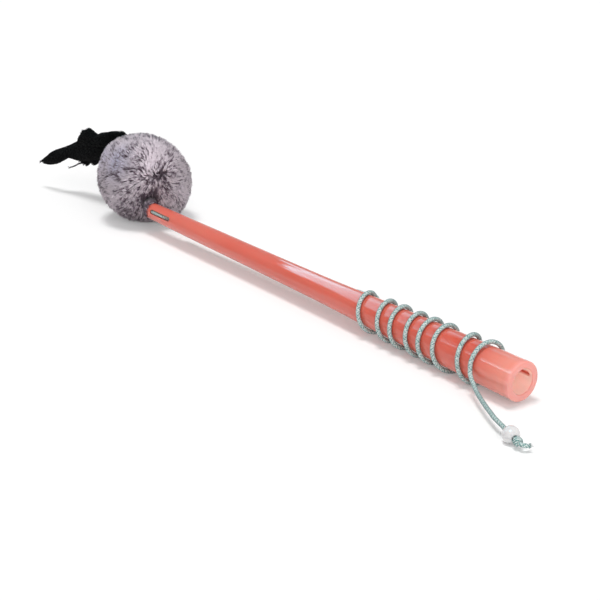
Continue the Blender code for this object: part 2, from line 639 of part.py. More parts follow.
def build_tail(black_pile, tie_thread, lure_centre):
    """Tail of long black pile: lobes joined into one piece, with a bound root in the lure's skin."""
    hinge = add_empty("tail_axis", TAIL_HINGE)
    tail = add_object("tail_plush", lobe_mesh("tail_plush", TAIL_LONG), black_pile, hinge)
    for name, lobe in (("tail_upper_lobe", TAIL_UPPER), ("tail_lower_lobe", TAIL_LOWER), ("tail_back_lobe", TAIL_BACK)):
        combine(tail, add_cutter(name, lobe_mesh(name, lobe), hinge), "UNION")

    root = arc((0, 0), TAIL_ROOT_RADIUS, 0, 180, 12)
    root[0], root[-1] = (TAIL_ROOT_RADIUS, 0.0), (-TAIL_ROOT_RADIUS, 0.0)
    combine(tail, add_cutter("tail_root_ball", turned_mesh("tail_root_ball", root, 20), hinge), "UNION")

    band_out, band_thick, band_half = 10.2 * MM, 1.3 * MM, 1.6 * MM
    seat = lure_radius(LURE_AXIS) + GAP + band_half + 0.9 * MM
    corners = arc((seat, band_out), band_thick, 0, 330, 11)
    add_object("tail_seat_ring", turned_mesh("tail_seat_ring", corners, 24, closed=True), tie_thread, lure_centre)


def main():
    """Build every piece."""
    clear_scene()
    coral = finish("coral_plastic", (0.76, 0.21, 0.14), 0.18)
    braid = finish("braided_line", (0.36, 0.56, 0.52), 0.75)
    pearl = finish("pearl_plastic", (0.86, 0.84, 0.82), 0.2)
    fur = finish("grey_fur", (0.33, 0.27, 0.32), 0.95)
    pile = finish("black_pile", (0.012, 0.012, 0.014), 0.8)
    fill = finish("fibre_fill", (0.88, 0.88, 0.86), 0.95)
    thread = finish("dark_thread", (0.10, 0.09, 0.10), 0.8)
    milky = finish("milky_plastic", (0.82, 0.84, 0.84), 0.35)

    floor = add_cutter("floor_cutter", box_mesh("floor_cutter", (-1, -1, -0.1), (1, 1, 0)))
    axis_empty = add_empty("wand_axis", BUTT, Matrix.Rotation(SLOPE, 3, "Y").to_quaternion())
    build_wand(axis_empty, coral)
    build_line_on_wand(axis_empty, braid, floor)
    build_bead_and_knot(braid, pearl, axis_empty)
    build_tether(braid)
    lure_centre = build_lure(fur, fill, thread, milky, floor)
    build_tail(pile, thread, lure_centre)

    bpy.context.view_layer.update()
    for label, point in (("pivot", PIVOT), ("lure axis", LURE_AXIS), ("tail hinge", TAIL_HINGE), ("butt", BUTT)):
        print("%s: %s" % (label, ", ".join("%.5f" % value for value in point)))
    print("slope %.3f degrees" % math.degrees(SLOPE))


main()
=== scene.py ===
"""Looks of the dog teaser wand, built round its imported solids.

The wand is a hollow coral plastic tube. Its braided line runs from the plush lure through the tip, back
along the wand, round the handle and on to a bead. The lure is a ball of short fur with a black tail.
Metres, +Z up, the floor at z = 0, the wand's butt towards +X.
"""

import logging
import math
from dataclasses import dataclass, field
from enum import Enum
from typing import Callable, Iterable, Sequence

import bmesh
import bpy
import numpy as np
from mathutils import Matrix, Vector
from mathutils.kdtree import KDTree


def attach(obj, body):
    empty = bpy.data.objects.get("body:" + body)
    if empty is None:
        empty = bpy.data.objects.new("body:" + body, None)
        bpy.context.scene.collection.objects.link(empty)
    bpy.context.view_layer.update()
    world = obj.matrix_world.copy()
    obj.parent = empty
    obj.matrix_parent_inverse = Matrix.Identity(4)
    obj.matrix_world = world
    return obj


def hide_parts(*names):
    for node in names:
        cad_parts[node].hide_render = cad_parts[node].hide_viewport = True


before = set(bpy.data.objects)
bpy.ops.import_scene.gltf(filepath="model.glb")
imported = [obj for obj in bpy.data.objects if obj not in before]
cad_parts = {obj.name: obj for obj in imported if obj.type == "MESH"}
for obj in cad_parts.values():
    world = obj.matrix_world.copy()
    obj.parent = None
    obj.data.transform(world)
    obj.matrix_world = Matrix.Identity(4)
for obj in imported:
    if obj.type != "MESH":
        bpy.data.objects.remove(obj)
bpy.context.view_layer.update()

MM = 0.001

log = logging.getLogger("teaser_wand")

Colour = tuple[float, float, float, float]
Pair = tuple[float, float]
Triple = tuple[float, float, float]
Spot = tuple[float, float, float, float]
Socket = bpy.types.NodeSocket

WHITE: Colour = (1.0, 1.0, 1.0, 1.0)
X_AXIS = Vector((1, 0, 0))
GOLDEN_TURN = math.pi * (1 + 5 ** 0.5)
CURVE_STEPS = 24
NO_CREASE = 180.0

# Ranges that the finishes read and write. Nearly all of a noise's values lie in the middle one.
MIDDLE: Pair = (0.3, 0.7)
WIDE: Pair = (0.2, 0.8)
WHOLE: Pair = (0.0, 1.0)
FADE_OUT: Pair = (1.0, 0.0)


class Body(Enum):
    """CAD bodies that the pieces ride on."""

    WAND = "wand"
    BEND = "bend"
    TETHER = "tether"
    LURE = "lure"
    TAIL = "tail"
    BEAD = "bead"


class Slot(Enum):
    """Material slots of the record."""

    CORAL = "coral_plastic"
    BRAID = "braided_line"
    PEARL = "pearl_plastic"
    FUR = "grey_fur"
    PILE = "black_pile"
    THREAD = "dark_thread"


# Where things are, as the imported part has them
BUTT = Vector((426.5, -23.9, 21.2494)) * MM
SLOPE = 0.00947358
WAND_FRAME = Matrix.Translation(BUTT) @ Matrix.Rotation(SLOPE, 4, "Y")
PIVOT = Vector((-182.7727, -23.9, 27.0215)) * MM
LURE_CENTRE = Vector((-225.9, 0.0, 50.5)) * MM
LURE_AXIS = (LURE_CENTRE - PIVOT).normalized()
TAIL_HINGE = Vector((-271.3084, 25.1641, 75.2203)) * MM


def srgb(red: float, green: float, blue: float) -> Colour:
    """Turn a screen colour into the linear one that shaders use.

    Args:
        red: Red from 0 to 255.
        green: Green from 0 to 255.
        blue: Blue from 0 to 255.

    Returns:
        The linear colour with full alpha.
    """

    def linear(value: float) -> float:
        """One channel's linear value."""
        share = value / 255
        return share / 12.92 if share <= 0.04045 else ((share + 0.055) / 1.055) ** 2.4

    return (linear(red), linear(green), linear(blue), 1.0)


@dataclass(frozen=True)
class Pattern:
    """One noise: its scale, octaves, roughness, stretch for each axis, and how far it bends itself."""

    scale: float
    detail: float = 2.0
    rough: float = 0.5
    stretch: Triple = (1.0, 1.0, 1.0)
    bend: float = 0.0


class Shader:
    """One material's node tree, with short calls for the nodes that the finishes use."""

    def __init__(self, name: str) -> None:
        """Make the material and find its Principled shader.

        Args:
            name: The material's name.
        """
        self.material = bpy.data.materials.new(name)
        self.material.use_nodes = True
        self.tree = self.material.node_tree
        self.surface = self.tree.nodes["Principled BSDF"]

    def node(self, kind: str, **settings: object) -> bpy.types.Node:
        """Add a node.

        Args:
            kind: The node's type.
            **settings: Properties of the node.

        Returns:
            The node.
        """
        made = self.tree.nodes.new(kind)
        for key, value in settings.items():
            setattr(made, key, value)
        return made

    def put(self, socket: Socket, value: object) -> None:
        """Link a socket to another, or give it a constant.

        Args:
            socket: The input.
            value: An output to link, or a number or colour.
        """
        if isinstance(value, Socket):
            self.tree.links.new(value, socket)
        else:
            socket.default_value = value

    def place(self, scale: Triple = (1.0, 1.0, 1.0)) -> Socket:
        """Read the object's own coordinates.

        Args:
            scale: Stretch for each axis.

        Returns:
            The coordinates.
        """
        mapping = self.node("ShaderNodeMapping")
        mapping.inputs["Scale"].default_value = scale
        self.put(mapping.inputs["Vector"], self.node("ShaderNodeTexCoord").outputs["Object"])
        return mapping.outputs["Vector"]

    def axes(self) -> bpy.types.NodeOutputs:
        """Read the object's own coordinates as three numbers.

        Returns:
            The outputs X, Y and Z.
        """
        split = self.node("ShaderNodeSeparateXYZ")
        self.put(split.inputs[0], self.place())
        return split.outputs

    def noise(self, pattern: Pattern) -> Socket:
        """Make noise over the object's own coordinates.

        Args:
            pattern: The noise's settings.

        Returns:
            A number from 0 to 1.
        """
        made = self.node("ShaderNodeTexNoise")
        self.put(made.inputs["Vector"], self.place(pattern.stretch))
        made.inputs["Scale"].default_value = pattern.scale
        made.inputs["Detail"].default_value = pattern.detail
        made.inputs["Roughness"].default_value = pattern.rough
        made.inputs["Distortion"].default_value = pattern.bend
        return made.outputs["Fac"]

    def attribute(self, name: str) -> Socket:
        """Read a number stored on the mesh."""
        return self.node("ShaderNodeAttribute", attribute_name=name).outputs["Fac"]

    def math(self, operation: str, first: object, second: object = 0.0) -> Socket:
        """Join two numbers.

        Args:
            operation: The sum's name.
            first: An output or a number.
            second: An output or a number.

        Returns:
            The result.
        """
        made = self.node("ShaderNodeMath", operation=operation)
        self.put(made.inputs[0], first)
        self.put(made.inputs[1], second)
        return made.outputs[0]

    def ramp(self, factor: Socket, stops: Sequence[tuple[float, Colour]]) -> Socket:
        """Turn a number into a colour.

        Args:
            factor: The number.
            stops: Places from 0 to 1, each with its colour.

        Returns:
            The colour.
        """
        made = self.node("ShaderNodeValToRGB")
        places = made.color_ramp.elements
        while len(places) < len(stops):
            places.new(1.0)
        for place, (position, colour) in zip(places, stops):
            place.position = position
            place.color = colour
        self.put(made.inputs["Fac"], factor)
        return made.outputs["Color"]

    def span(self, value: object, source: Pair, target: Pair = WHOLE) -> Socket:
        """Map a number from one range to another.

        Args:
            value: The number.
            source: The range it is read in.
            target: The range it is kept in.

        Returns:
            The mapped number.
        """
        made = self.node("ShaderNodeMapRange")
        for index, number in enumerate((value, *source, *target)):
            self.put(made.inputs[index], number)
        return made.outputs[0]

    def mix(self, factor: object, first: object, second: object) -> Socket:
        """Mix two colours.

        Args:
            factor: The share of the second, an output or a number.
            first: An output or a colour.
            second: An output or a colour.

        Returns:
            The mixed colour.
        """
        made = self.node("ShaderNodeMix", data_type="RGBA")
        self.put(made.inputs[0], factor)
        self.put(made.inputs[6], first)
        self.put(made.inputs[7], second)
        return made.outputs[2]

    def bump(self, height: Socket, relief: Pair) -> None:
        """Give the surface fine relief.

        Args:
            height: The relief's height, from 0 to 1.
            relief: Its depth in metres and its strength.
        """
        made = self.node("ShaderNodeBump")
        made.inputs["Strength"].default_value = relief[1]
        made.inputs["Distance"].default_value = relief[0]
        self.put(made.inputs["Height"], height)
        self.put(self.surface.inputs["Normal"], made.outputs["Normal"])

    def set(self, **values: object) -> None:
        """Set the surface's sockets by their names, with _ for a space."""
        for key, value in values.items():
            self.put(self.surface.inputs[key.replace("_", " ")], value)


@dataclass(frozen=True)
class CoralPlastic:
    """Translucent coral moulding, with painted light: the thick end and its face painted paler, and the bore painted
    palest with a faint glow, for light that gets through the thin walls.

    Ranges along the wand and out from its axis are in metres, from the butt's face.
    """

    deep: Colour = srgb(217, 99, 82)
    plain: Colour = srgb(226, 114, 97)
    # Painted light: pale, face and lit are the butt end, its face and the bore painted paler, for light through the
    # plastic.
    pale: Colour = srgb(240, 152, 136)
    face: Colour = srgb(248, 166, 156)
    lit: Colour = srgb(250, 212, 200)
    painted_butt_light: Pair = (-0.05, -0.01)
    rim: Pair = (-0.006, -0.001)
    bore_wall: Pair = (0.0126, 0.0150)
    bore_depth: Pair = (-0.11, -0.03)
    lip: Pair = (-0.0016, -0.0006)
    # Painted light: strength of the bore's faint painted glow.
    glow: float = 0.13
    cloud: Pattern = Pattern(14.0, 3.0, 0.55, (0.35, 1.0, 1.0))
    polish: Pattern = Pattern(60.0, 3.0)
    swell: Pattern = Pattern(30.0, 1.0)
    grain: Pattern = Pattern(700.0, 2.0, 0.6)
    grain_share: float = 0.06
    relief: Pair = (0.00008, 0.4)
    roughness: Pair = (0.035, 0.06)
    ior: float = 1.49
    coat: Pair = (0.15, 0.06)
    depth: float = 0.007
    depth_share: float = 0.55
    depth_reach: Triple = (1.0, 0.42, 0.32)

    def material(self) -> bpy.types.Material:
        """Build the material.

        Returns:
            The coral moulding.
        """
        make = Shader("coral_moulding")
        place = make.axes()
        body = make.mix(make.span(make.noise(self.cloud), MIDDLE), self.deep, self.plain)
        # Painted light: towards the butt the body fades to a paler colour, for light through the thin plastic there.
        body = make.mix(make.span(place["X"], self.painted_butt_light), body, self.pale)
        # Painted light: the bore's wall, back from its lip, is painted pale and glows faintly, for light coming in
        # through the plastic.
        squares = [make.math("MULTIPLY", place[axis], place[axis]) for axis in ("Y", "Z")]
        out = make.math("SQRT", make.math("ADD", *squares))
        painted_bore_light = make.math("MULTIPLY", make.span(out, self.bore_wall, FADE_OUT),
                           make.span(place["X"], self.bore_depth))
        painted_bore_light = make.math("MULTIPLY", painted_bore_light, make.span(place["X"], self.lip, FADE_OUT))
        # Painted light: the butt's face is painted paler than the body.
        body = make.mix(make.span(place["X"], self.rim), body, self.face)
        make.set(Base_Color=make.mix(painted_bore_light, body, self.lit))
        make.set(Emission_Color=self.lit, Emission_Strength=make.math("MULTIPLY", painted_bore_light, self.glow))
        make.set(Roughness=make.span(make.noise(self.polish), MIDDLE, self.roughness))
        make.set(IOR=self.ior, Coat_Weight=self.coat[0], Coat_Roughness=self.coat[1])
        make.set(Subsurface_Weight=self.depth_share, Subsurface_Scale=self.depth, Subsurface_Radius=self.depth_reach)
        make.bump(make.mix(self.grain_share, make.noise(self.swell), make.noise(self.grain)), self.relief)
        return make.material


@dataclass(frozen=True)
class BraidedYarn:
    """Tight round braid of pale and teal yarns, with painted shade towards its sides and between its yarns."""

    pale: Colour = srgb(246, 252, 250)
    teal: Colour = srgb(134, 186, 180)
    # dark is a yarn's colour, and also the painted shade between the yarns; shaded is the painted shade at the sides.
    dark: Colour = srgb(40, 74, 76)
    shaded: Colour = srgb(58, 98, 102)
    edge: Pair = (0.34, 0.90)
    edge_shade: Pair = (0.0, 0.85)
    gap: Pair = (0.42, 1.0)
    gap_shade: Pair = (0.0, 0.8)
    fibre: Pattern = Pattern(2600.0, 2.0, 0.7)
    fibre_from: Pair = (0.35, 0.7)
    fibre_tint: Pair = (0.0, 0.25)
    roughness: Pair = (0.62, 0.86)
    sheen: Pair = (0.25, 0.45)
    relief: Pair = (0.00012, 0.6)

    def material(self) -> bpy.types.Material:
        """Build the material.

        Returns:
            The braid.
        """
        make = Shader("braided_yarn")
        yarn = make.ramp(make.attribute("yarn"), [(0.0, self.pale), (0.5, self.teal), (1.0, self.dark)])
        fibre = make.noise(self.fibre)
        yarn = make.mix(make.span(fibre, self.fibre_from, self.fibre_tint), yarn, self.teal)
        # Painted shade: the low points between the yarns are mixed towards the dark colour, and the sides seen
        # edge-on towards the shaded colour.
        gap = make.span(make.attribute("gap"), self.gap, self.gap_shade)
        aside = make.node("ShaderNodeLayerWeight").outputs["Facing"]
        yarn = make.mix(make.span(aside, self.edge, self.edge_shade), make.mix(gap, yarn, self.dark), self.shaded)
        make.set(Base_Color=yarn)
        make.set(Roughness=make.span(fibre, WIDE, self.roughness))
        make.set(Sheen_Weight=self.sheen[0], Sheen_Roughness=self.sheen[1])
        make.bump(fibre, self.relief)
        return make.material


@dataclass(frozen=True)
class PearlPlastic:
    """White bead with a faint pearly swirl."""

    white: Colour = srgb(232, 231, 230)
    shade: Colour = srgb(221, 219, 221)
    swirl: Pattern = Pattern(130.0, 3.0, 0.55, (1.0, 1.0, 2.4), 1.6)
    swirl_from: Pair = (0.35, 0.65)
    grain: Pattern = Pattern(700.0)
    relief: Pair = (0.00004, 0.3)
    roughness: Pair = (0.16, 0.26)
    coat: Pair = (0.4, 0.08)
    depth: float = 0.002
    depth_share: float = 0.3
    depth_reach: Triple = (1.0, 0.9, 0.85)

    def material(self) -> bpy.types.Material:
        """Build the material.

        Returns:
            The pearly white.
        """
        make = Shader("pearl_bead")
        swirl = make.noise(self.swirl)
        make.set(Base_Color=make.mix(make.span(swirl, self.swirl_from), self.white, self.shade))
        make.set(Roughness=make.span(swirl, WIDE, self.roughness))
        make.set(Subsurface_Weight=self.depth_share, Subsurface_Scale=self.depth, Subsurface_Radius=self.depth_reach)
        make.set(Coat_Weight=self.coat[0], Coat_Roughness=self.coat[1])
        make.bump(make.noise(self.grain), self.relief)
        return make.material


@dataclass(frozen=True)
class FurColours:
    """Plush fur in two colours: dark at the skin, silvery at the tips, in soft light and dark patches.

    A strand's colour follows one height: how far up it a point is, made higher or lower by its clump, by two noises
    and by its spots, which are partly painted light and shade and partly the fur's own patches.
    """

    root: Colour = srgb(90, 73, 84)
    middle: Colour = srgb(152, 134, 148)
    tip: Colour = srgb(240, 228, 236)
    cool: Colour = srgb(206, 206, 234)
    rise_share: float = 0.82
    shading_and_patch_share: float = 1.9
    clump_shift: Pair = (-0.38, 0.36)
    patch: Pattern = Pattern(100.0, 3.0, 0.75)
    patch_from: Pair = (0.34, 0.66)
    patch_shift: Pair = (-0.46, 0.38)
    tuft: Pattern = Pattern(230.0, 2.0, 0.6)
    tuft_shift: Pair = (-0.24, 0.24)
    middle_from: Pair = (0.02, 0.30)
    tip_from: Pair = (0.20, 0.64)
    roughness: Pair = (0.62, 0.85)
    sheen: Pair = (0.35, 0.35)
    fibre: Pattern = Pattern(1500.0)
    relief: Pair = (0.0002, 0.4)

    def material(self, name: str = "short_fur") -> bpy.types.Material:
        """Build the material.

        Args:
            name: The material's name.

        Returns:
            The fur.
        """
        make = Shader(name)
        rise = make.attribute("rise")
        clump = make.attribute("clump")
        tip = make.mix(make.attribute("cool"), self.tip, self.cool)
        held = make.math("ADD", make.span(clump, WHOLE, self.clump_shift),
                         make.span(make.noise(self.patch), self.patch_from, self.patch_shift))
        held = make.math("ADD", held, make.span(make.noise(self.tuft), MIDDLE, self.tuft_shift))
        height = make.math("ADD", make.math("MULTIPLY", rise, self.rise_share), held)
        # Painted light and shade: the spots' lighter and darker amounts, mixed with the fur's own patches.
        height = make.math("ADD", height, make.math("MULTIPLY", make.attribute("shading_and_patch"), self.shading_and_patch_share))
        colour = make.mix(make.span(height, self.middle_from), self.root, self.middle)
        colour = make.mix(make.span(height, self.tip_from), colour, tip)
        make.set(Base_Color=colour, Roughness=make.span(clump, WHOLE, self.roughness))
        make.set(Sheen_Weight=self.sheen[0], Sheen_Roughness=self.sheen[1], Sheen_Tint=self.tip)
        make.bump(make.noise(self.fibre), self.relief)
        return make.material


@dataclass(frozen=True)
class BlackPile:
    """Deep black pile fabric with a faint sheen along its lay, partly painted as paler streaks."""

    black: Colour = srgb(7, 7, 8)
    # Painted sheen: the paler colour of the streaks along the lay.
    streak_sheen: Colour = srgb(20, 19, 21)
    streak: Pattern = Pattern(260.0, 3.0, 0.6, (0.16, 0.5, 1.0))
    streak_sheen_from: Pair = (0.45, 0.75)
    streak_sheen_share: Pair = (0.0, 0.8)
    roughness: Pair = (0.7, 0.95)
    specular: float = 0.06
    sheen: Pair = (0.03, 0.4)
    relief: Pair = (0.0006, 0.5)

    def material(self) -> bpy.types.Material:
        """Build the material.

        Returns:
            The black pile.
        """
        make = Shader("black_pile_fabric")
        streak = make.noise(self.streak)
        # Painted sheen: paler streaks along the lay, over the black.
        make.set(Base_Color=make.mix(make.span(streak, self.streak_sheen_from, self.streak_sheen_share), self.black, self.streak_sheen))
        make.set(Roughness=make.span(streak, MIDDLE, self.roughness), Specular_IOR_Level=self.specular)
        make.set(Sheen_Weight=self.sheen[0], Sheen_Roughness=self.sheen[1])
        make.bump(streak, self.relief)
        return make.material


@dataclass(frozen=True)
class SewingThread:
    """Dark twisted sewing thread."""

    lit: Colour = srgb(74, 66, 74)
    dark: Colour = srgb(28, 24, 28)
    fibre: Pattern = Pattern(1800.0, 2.0, 0.6)
    roughness: Pair = (0.6, 0.85)
    relief: Pair = (0.0001, 0.6)

    def material(self) -> bpy.types.Material:
        """Build the material.

        Returns:
            The thread.
        """
        make = Shader("sewing_thread")
        fibre = make.noise(self.fibre)
        make.set(Base_Color=make.mix(make.span(fibre, MIDDLE), self.dark, self.lit))
        make.set(Roughness=make.span(fibre, MIDDLE, self.roughness))
        make.bump(fibre, self.relief)
        return make.material


@dataclass(frozen=True)
class MilkyPlastic:
    """Thin milky moulding of the squeaker."""

    clear: Colour = srgb(232, 236, 236)
    cloudy: Colour = srgb(208, 214, 216)
    cloud: Pattern = Pattern(90.0, 3.0)
    grain: Pattern = Pattern(420.0)
    roughness: Pair = (0.28, 0.42)
    relief: Pair = (0.0001, 0.3)

    def material(self) -> bpy.types.Material:
        """Build the material.

        Returns:
            The milky plastic.
        """
        make = Shader("milky_moulding")
        cloud = make.noise(self.cloud)
        make.set(Base_Color=make.mix(make.span(cloud, MIDDLE), self.clear, self.cloudy))
        make.set(Roughness=make.span(cloud, MIDDLE, self.roughness))
        make.bump(make.noise(self.grain), self.relief)
        return make.material


def along_table(table: Sequence[Pair], place: float) -> float:
    """Read a smooth curve through (place, value) pairs.

    Args:
        table: The pairs, in rising order of place.
        place: Where to read the curve.

    Returns:
        The value there.
    """
    places = [pair[0] for pair in table]
    values = [pair[1] for pair in table]
    last = len(table) - 1
    place = min(max(place, places[0]), places[-1])
    index = min(max(sum(1 for value in places if value <= place) - 1, 0), last - 1)

    def slope(at: int) -> float:
        """The curve's slope at a pair."""
        low, high = max(at - 1, 0), min(at + 1, last)
        return (values[high] - values[low]) / (places[high] - places[low])

    span = places[index + 1] - places[index]
    part = (place - places[index]) / span
    square, cube = part * part, part ** 3
    return ((2 * cube - 3 * square + 1) * values[index] + (cube - 2 * square + part) * span * slope(index)
            + (3 * square - 2 * cube) * values[index + 1] + (cube - square) * span * slope(index + 1))


def smooth_route(points: Iterable[Sequence[float]], spacing: float) -> np.ndarray:
    """Read points at an even spacing from a smooth curve through a route's own points.

    Args:
        points: The route's points.
        spacing: About how far apart the points that come back are.

    Returns:
        An array of points, the route's ends among them.
    """
    route = rows(points)
    ends = np.vstack([2 * route[0] - route[1], route, 2 * route[-1] - route[-2]])
    part = np.linspace(0, 1, CURVE_STEPS, endpoint=False)[:, None]
    fine = []
    for before, start, end, after in zip(ends, ends[1:], ends[2:], ends[3:]):
        fine.append(0.5 * (2 * start + (end - before) * part
                           + (2 * before - 5 * start + 4 * end - after) * part ** 2
                           + (3 * start - before - 3 * end + after) * part ** 3))
    return evenly(np.vstack(fine + [route[-1:]]), spacing)


def evenly(chain: np.ndarray, spacing: float) -> np.ndarray:
    """Read points at an even spacing along a chain of points.

    Args:
        chain: The points.
        spacing: About how far apart the points that come back are.

    Returns:
        An array of points, the chain's ends among them.
    """
    steps = np.linalg.norm(np.diff(chain, axis=0), axis=1)
    lengths = np.concatenate([[0.0], np.cumsum(steps)])
    wanted = np.linspace(0, lengths[-1], max(2, round(lengths[-1] / spacing)) + 1)
    return np.column_stack([np.interp(wanted, lengths, chain[:, axis]) for axis in range(3)])


def chain_length(chain: np.ndarray) -> float:
    """Length of a chain of points."""
    return float(np.linalg.norm(np.diff(chain, axis=0), axis=1).sum())


def rows(points: Iterable[Sequence[float]]) -> np.ndarray:
    """Points as the rows of an array."""
    return np.array([tuple(point) for point in points], float)


def heading(way: Sequence[float]) -> np.ndarray:
    """One direction as a unit vector."""
    return np.array(way) / np.linalg.norm(way)


def units(vectors: np.ndarray, least: float = 1e-9) -> np.ndarray:
    """Many vectors at length 1, each divided by its length or at least by a small one."""
    return vectors / np.maximum(np.linalg.norm(vectors, axis=-1), least)[..., None]


def degrees_from(axis: np.ndarray, ways: np.ndarray) -> np.ndarray:
    """Angle of each unit vector from an axis, in degrees."""
    return np.degrees(np.arccos(np.clip(ways @ axis, -1, 1)))


def axes_along(way: Vector, origin: Sequence[float]) -> Matrix:
    """Axes at a point, with X along a direction."""
    return Matrix.Translation(origin) @ X_AXIS.rotation_difference(way).to_matrix().to_4x4()


def quads(index: np.ndarray) -> list[list[int]]:
    """Faces between the rings of a closed tube, from a table of its points with one row for each ring."""
    after = np.roll(index, -1, axis=1)
    return np.stack([index[:-1], after[:-1], after[1:], index[1:]], axis=-1).reshape(-1, 4).tolist()


def place_object(name: str, data: bpy.types.ID) -> bpy.types.Object:
    """Put an object into the scene.

    Args:
        name: The object's name.
        data: Its mesh, camera or lamp.

    Returns:
        The object.
    """
    made = bpy.data.objects.new(name, data)
    bpy.context.scene.collection.objects.link(made)
    return made


def aim_object(name: str, data: bpy.types.ID, place: Triple, way: Triple) -> bpy.types.Object:
    """Put a camera or lamp into the scene.

    Args:
        name: The object's name.
        data: Its camera or lamp.
        place: Where it is.
        way: The direction that it looks in.

    Returns:
        The object.
    """
    made = place_object(name, data)
    made.location = place
    made.rotation_mode = "QUATERNION"
    made.rotation_quaternion = Vector(way).to_track_quat("-Z", "Y")
    return made


def make_object(name: str, vertices: np.ndarray, faces: Sequence[Sequence[int]],
                numbers: dict[str, np.ndarray] | None = None, crease: float = NO_CREASE) -> bpy.types.Object:
    """Make a mesh object.

    Args:
        name: The piece's name.
        vertices: Its points.
        faces: The points of each face, by their index.
        numbers: One number for each point, by name, for the finishes to read.
        crease: Angle between faces, in degrees, past which an edge stays sharp.

    Returns:
        The linked object.
    """
    mesh = bpy.data.meshes.new(name)
    mesh.from_pydata(np.asarray(vertices, float).tolist(), [], faces)
    for key, values in (numbers or {}).items():
        stored = mesh.attributes.new(key, "FLOAT", "POINT")
        stored.data.foreach_set("value", np.asarray(values, np.float32))
    mesh.shade_smooth()
    if crease < NO_CREASE:
        mesh.set_sharp_from_angle(angle=math.radians(crease))
    mesh.update()
    return place_object(name, mesh)


def dress(piece: bpy.types.Object, material: bpy.types.Material, body: Body,
          stands_for: Sequence[str] = ()) -> bpy.types.Object:
    """Give a piece its material and body, and hide the CAD nodes that it stands for.

    Args:
        piece: The piece.
        material: Its material.
        body: The body that it rides on.
        stands_for: The CAD nodes that it replaces.

    Returns:
        The piece.
    """
    piece.data.materials.clear()
    piece.data.materials.append(material)
    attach(piece, body.value)
    if stands_for:
        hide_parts(*stands_for)
    log.info("%s: %d points", piece.name, len(piece.data.vertices))
    return piece


def lathe(profile: Sequence[Pair], sides: int, closed: bool = False) -> tuple[np.ndarray, list[list[int]]]:
    """Turn a profile of (along X, radius) pairs round the X axis.

    Args:
        profile: The pairs. A radius of 0 closes that end in one point.
        sides: How many facets go round.
        closed: Whether the profile joins its own start, as a ring's does.

    Returns:
        The points and the faces.
    """
    vertices: list[Triple] = []
    rings: list[list[int]] = []
    for along, out in profile:
        if out == 0:
            rings.append([len(vertices)] * sides)
            vertices.append((along, 0.0, 0.0))
            continue
        rings.append(list(range(len(vertices), len(vertices) + sides)))
        for side in range(sides):
            angle = 2 * math.pi * side / sides
            vertices.append((along, out * math.cos(angle), out * math.sin(angle)))
    if closed:
        rings.append(rings[0])
    faces = []
    for low, high in zip(rings, rings[1:]):
        for side in range(sides):
            after = (side + 1) % sides
            corners = [low[side], high[side], high[after], low[after]]
            faces.append(list(dict.fromkeys(corners)))
    return np.array(vertices), faces


def arc(centre: Pair, radius: float, start: float, end: float, steps: int) -> list[Pair]:
    """Points of an arc in a profile, with its angles in degrees."""
    angles = np.radians(np.linspace(start, end, steps + 1))
    return [(centre[0] + radius * math.cos(angle), centre[1] + radius * math.sin(angle)) for angle in angles]


def tidy_normals(piece: bpy.types.Object) -> None:
    """Turn a closed piece's faces outwards.

    Args:
        piece: The piece.
    """
    shape = bmesh.new()
    shape.from_mesh(piece.data)
    bmesh.ops.recalc_face_normals(shape, faces=shape.faces)
    shape.to_mesh(piece.data)
    shape.free()


def settle_modifiers(piece: bpy.types.Object) -> None:
    """Keep what a piece's modifiers make of its mesh, and drop them.

    Args:
        piece: The piece.
    """
    bpy.context.view_layer.update()
    shaped = piece.evaluated_get(bpy.context.evaluated_depsgraph_get())
    mesh = bpy.data.meshes.new_from_object(shaped)
    old = piece.data
    piece.modifiers.clear()
    piece.data = mesh
    mesh.name = piece.name
    bpy.data.meshes.remove(old)


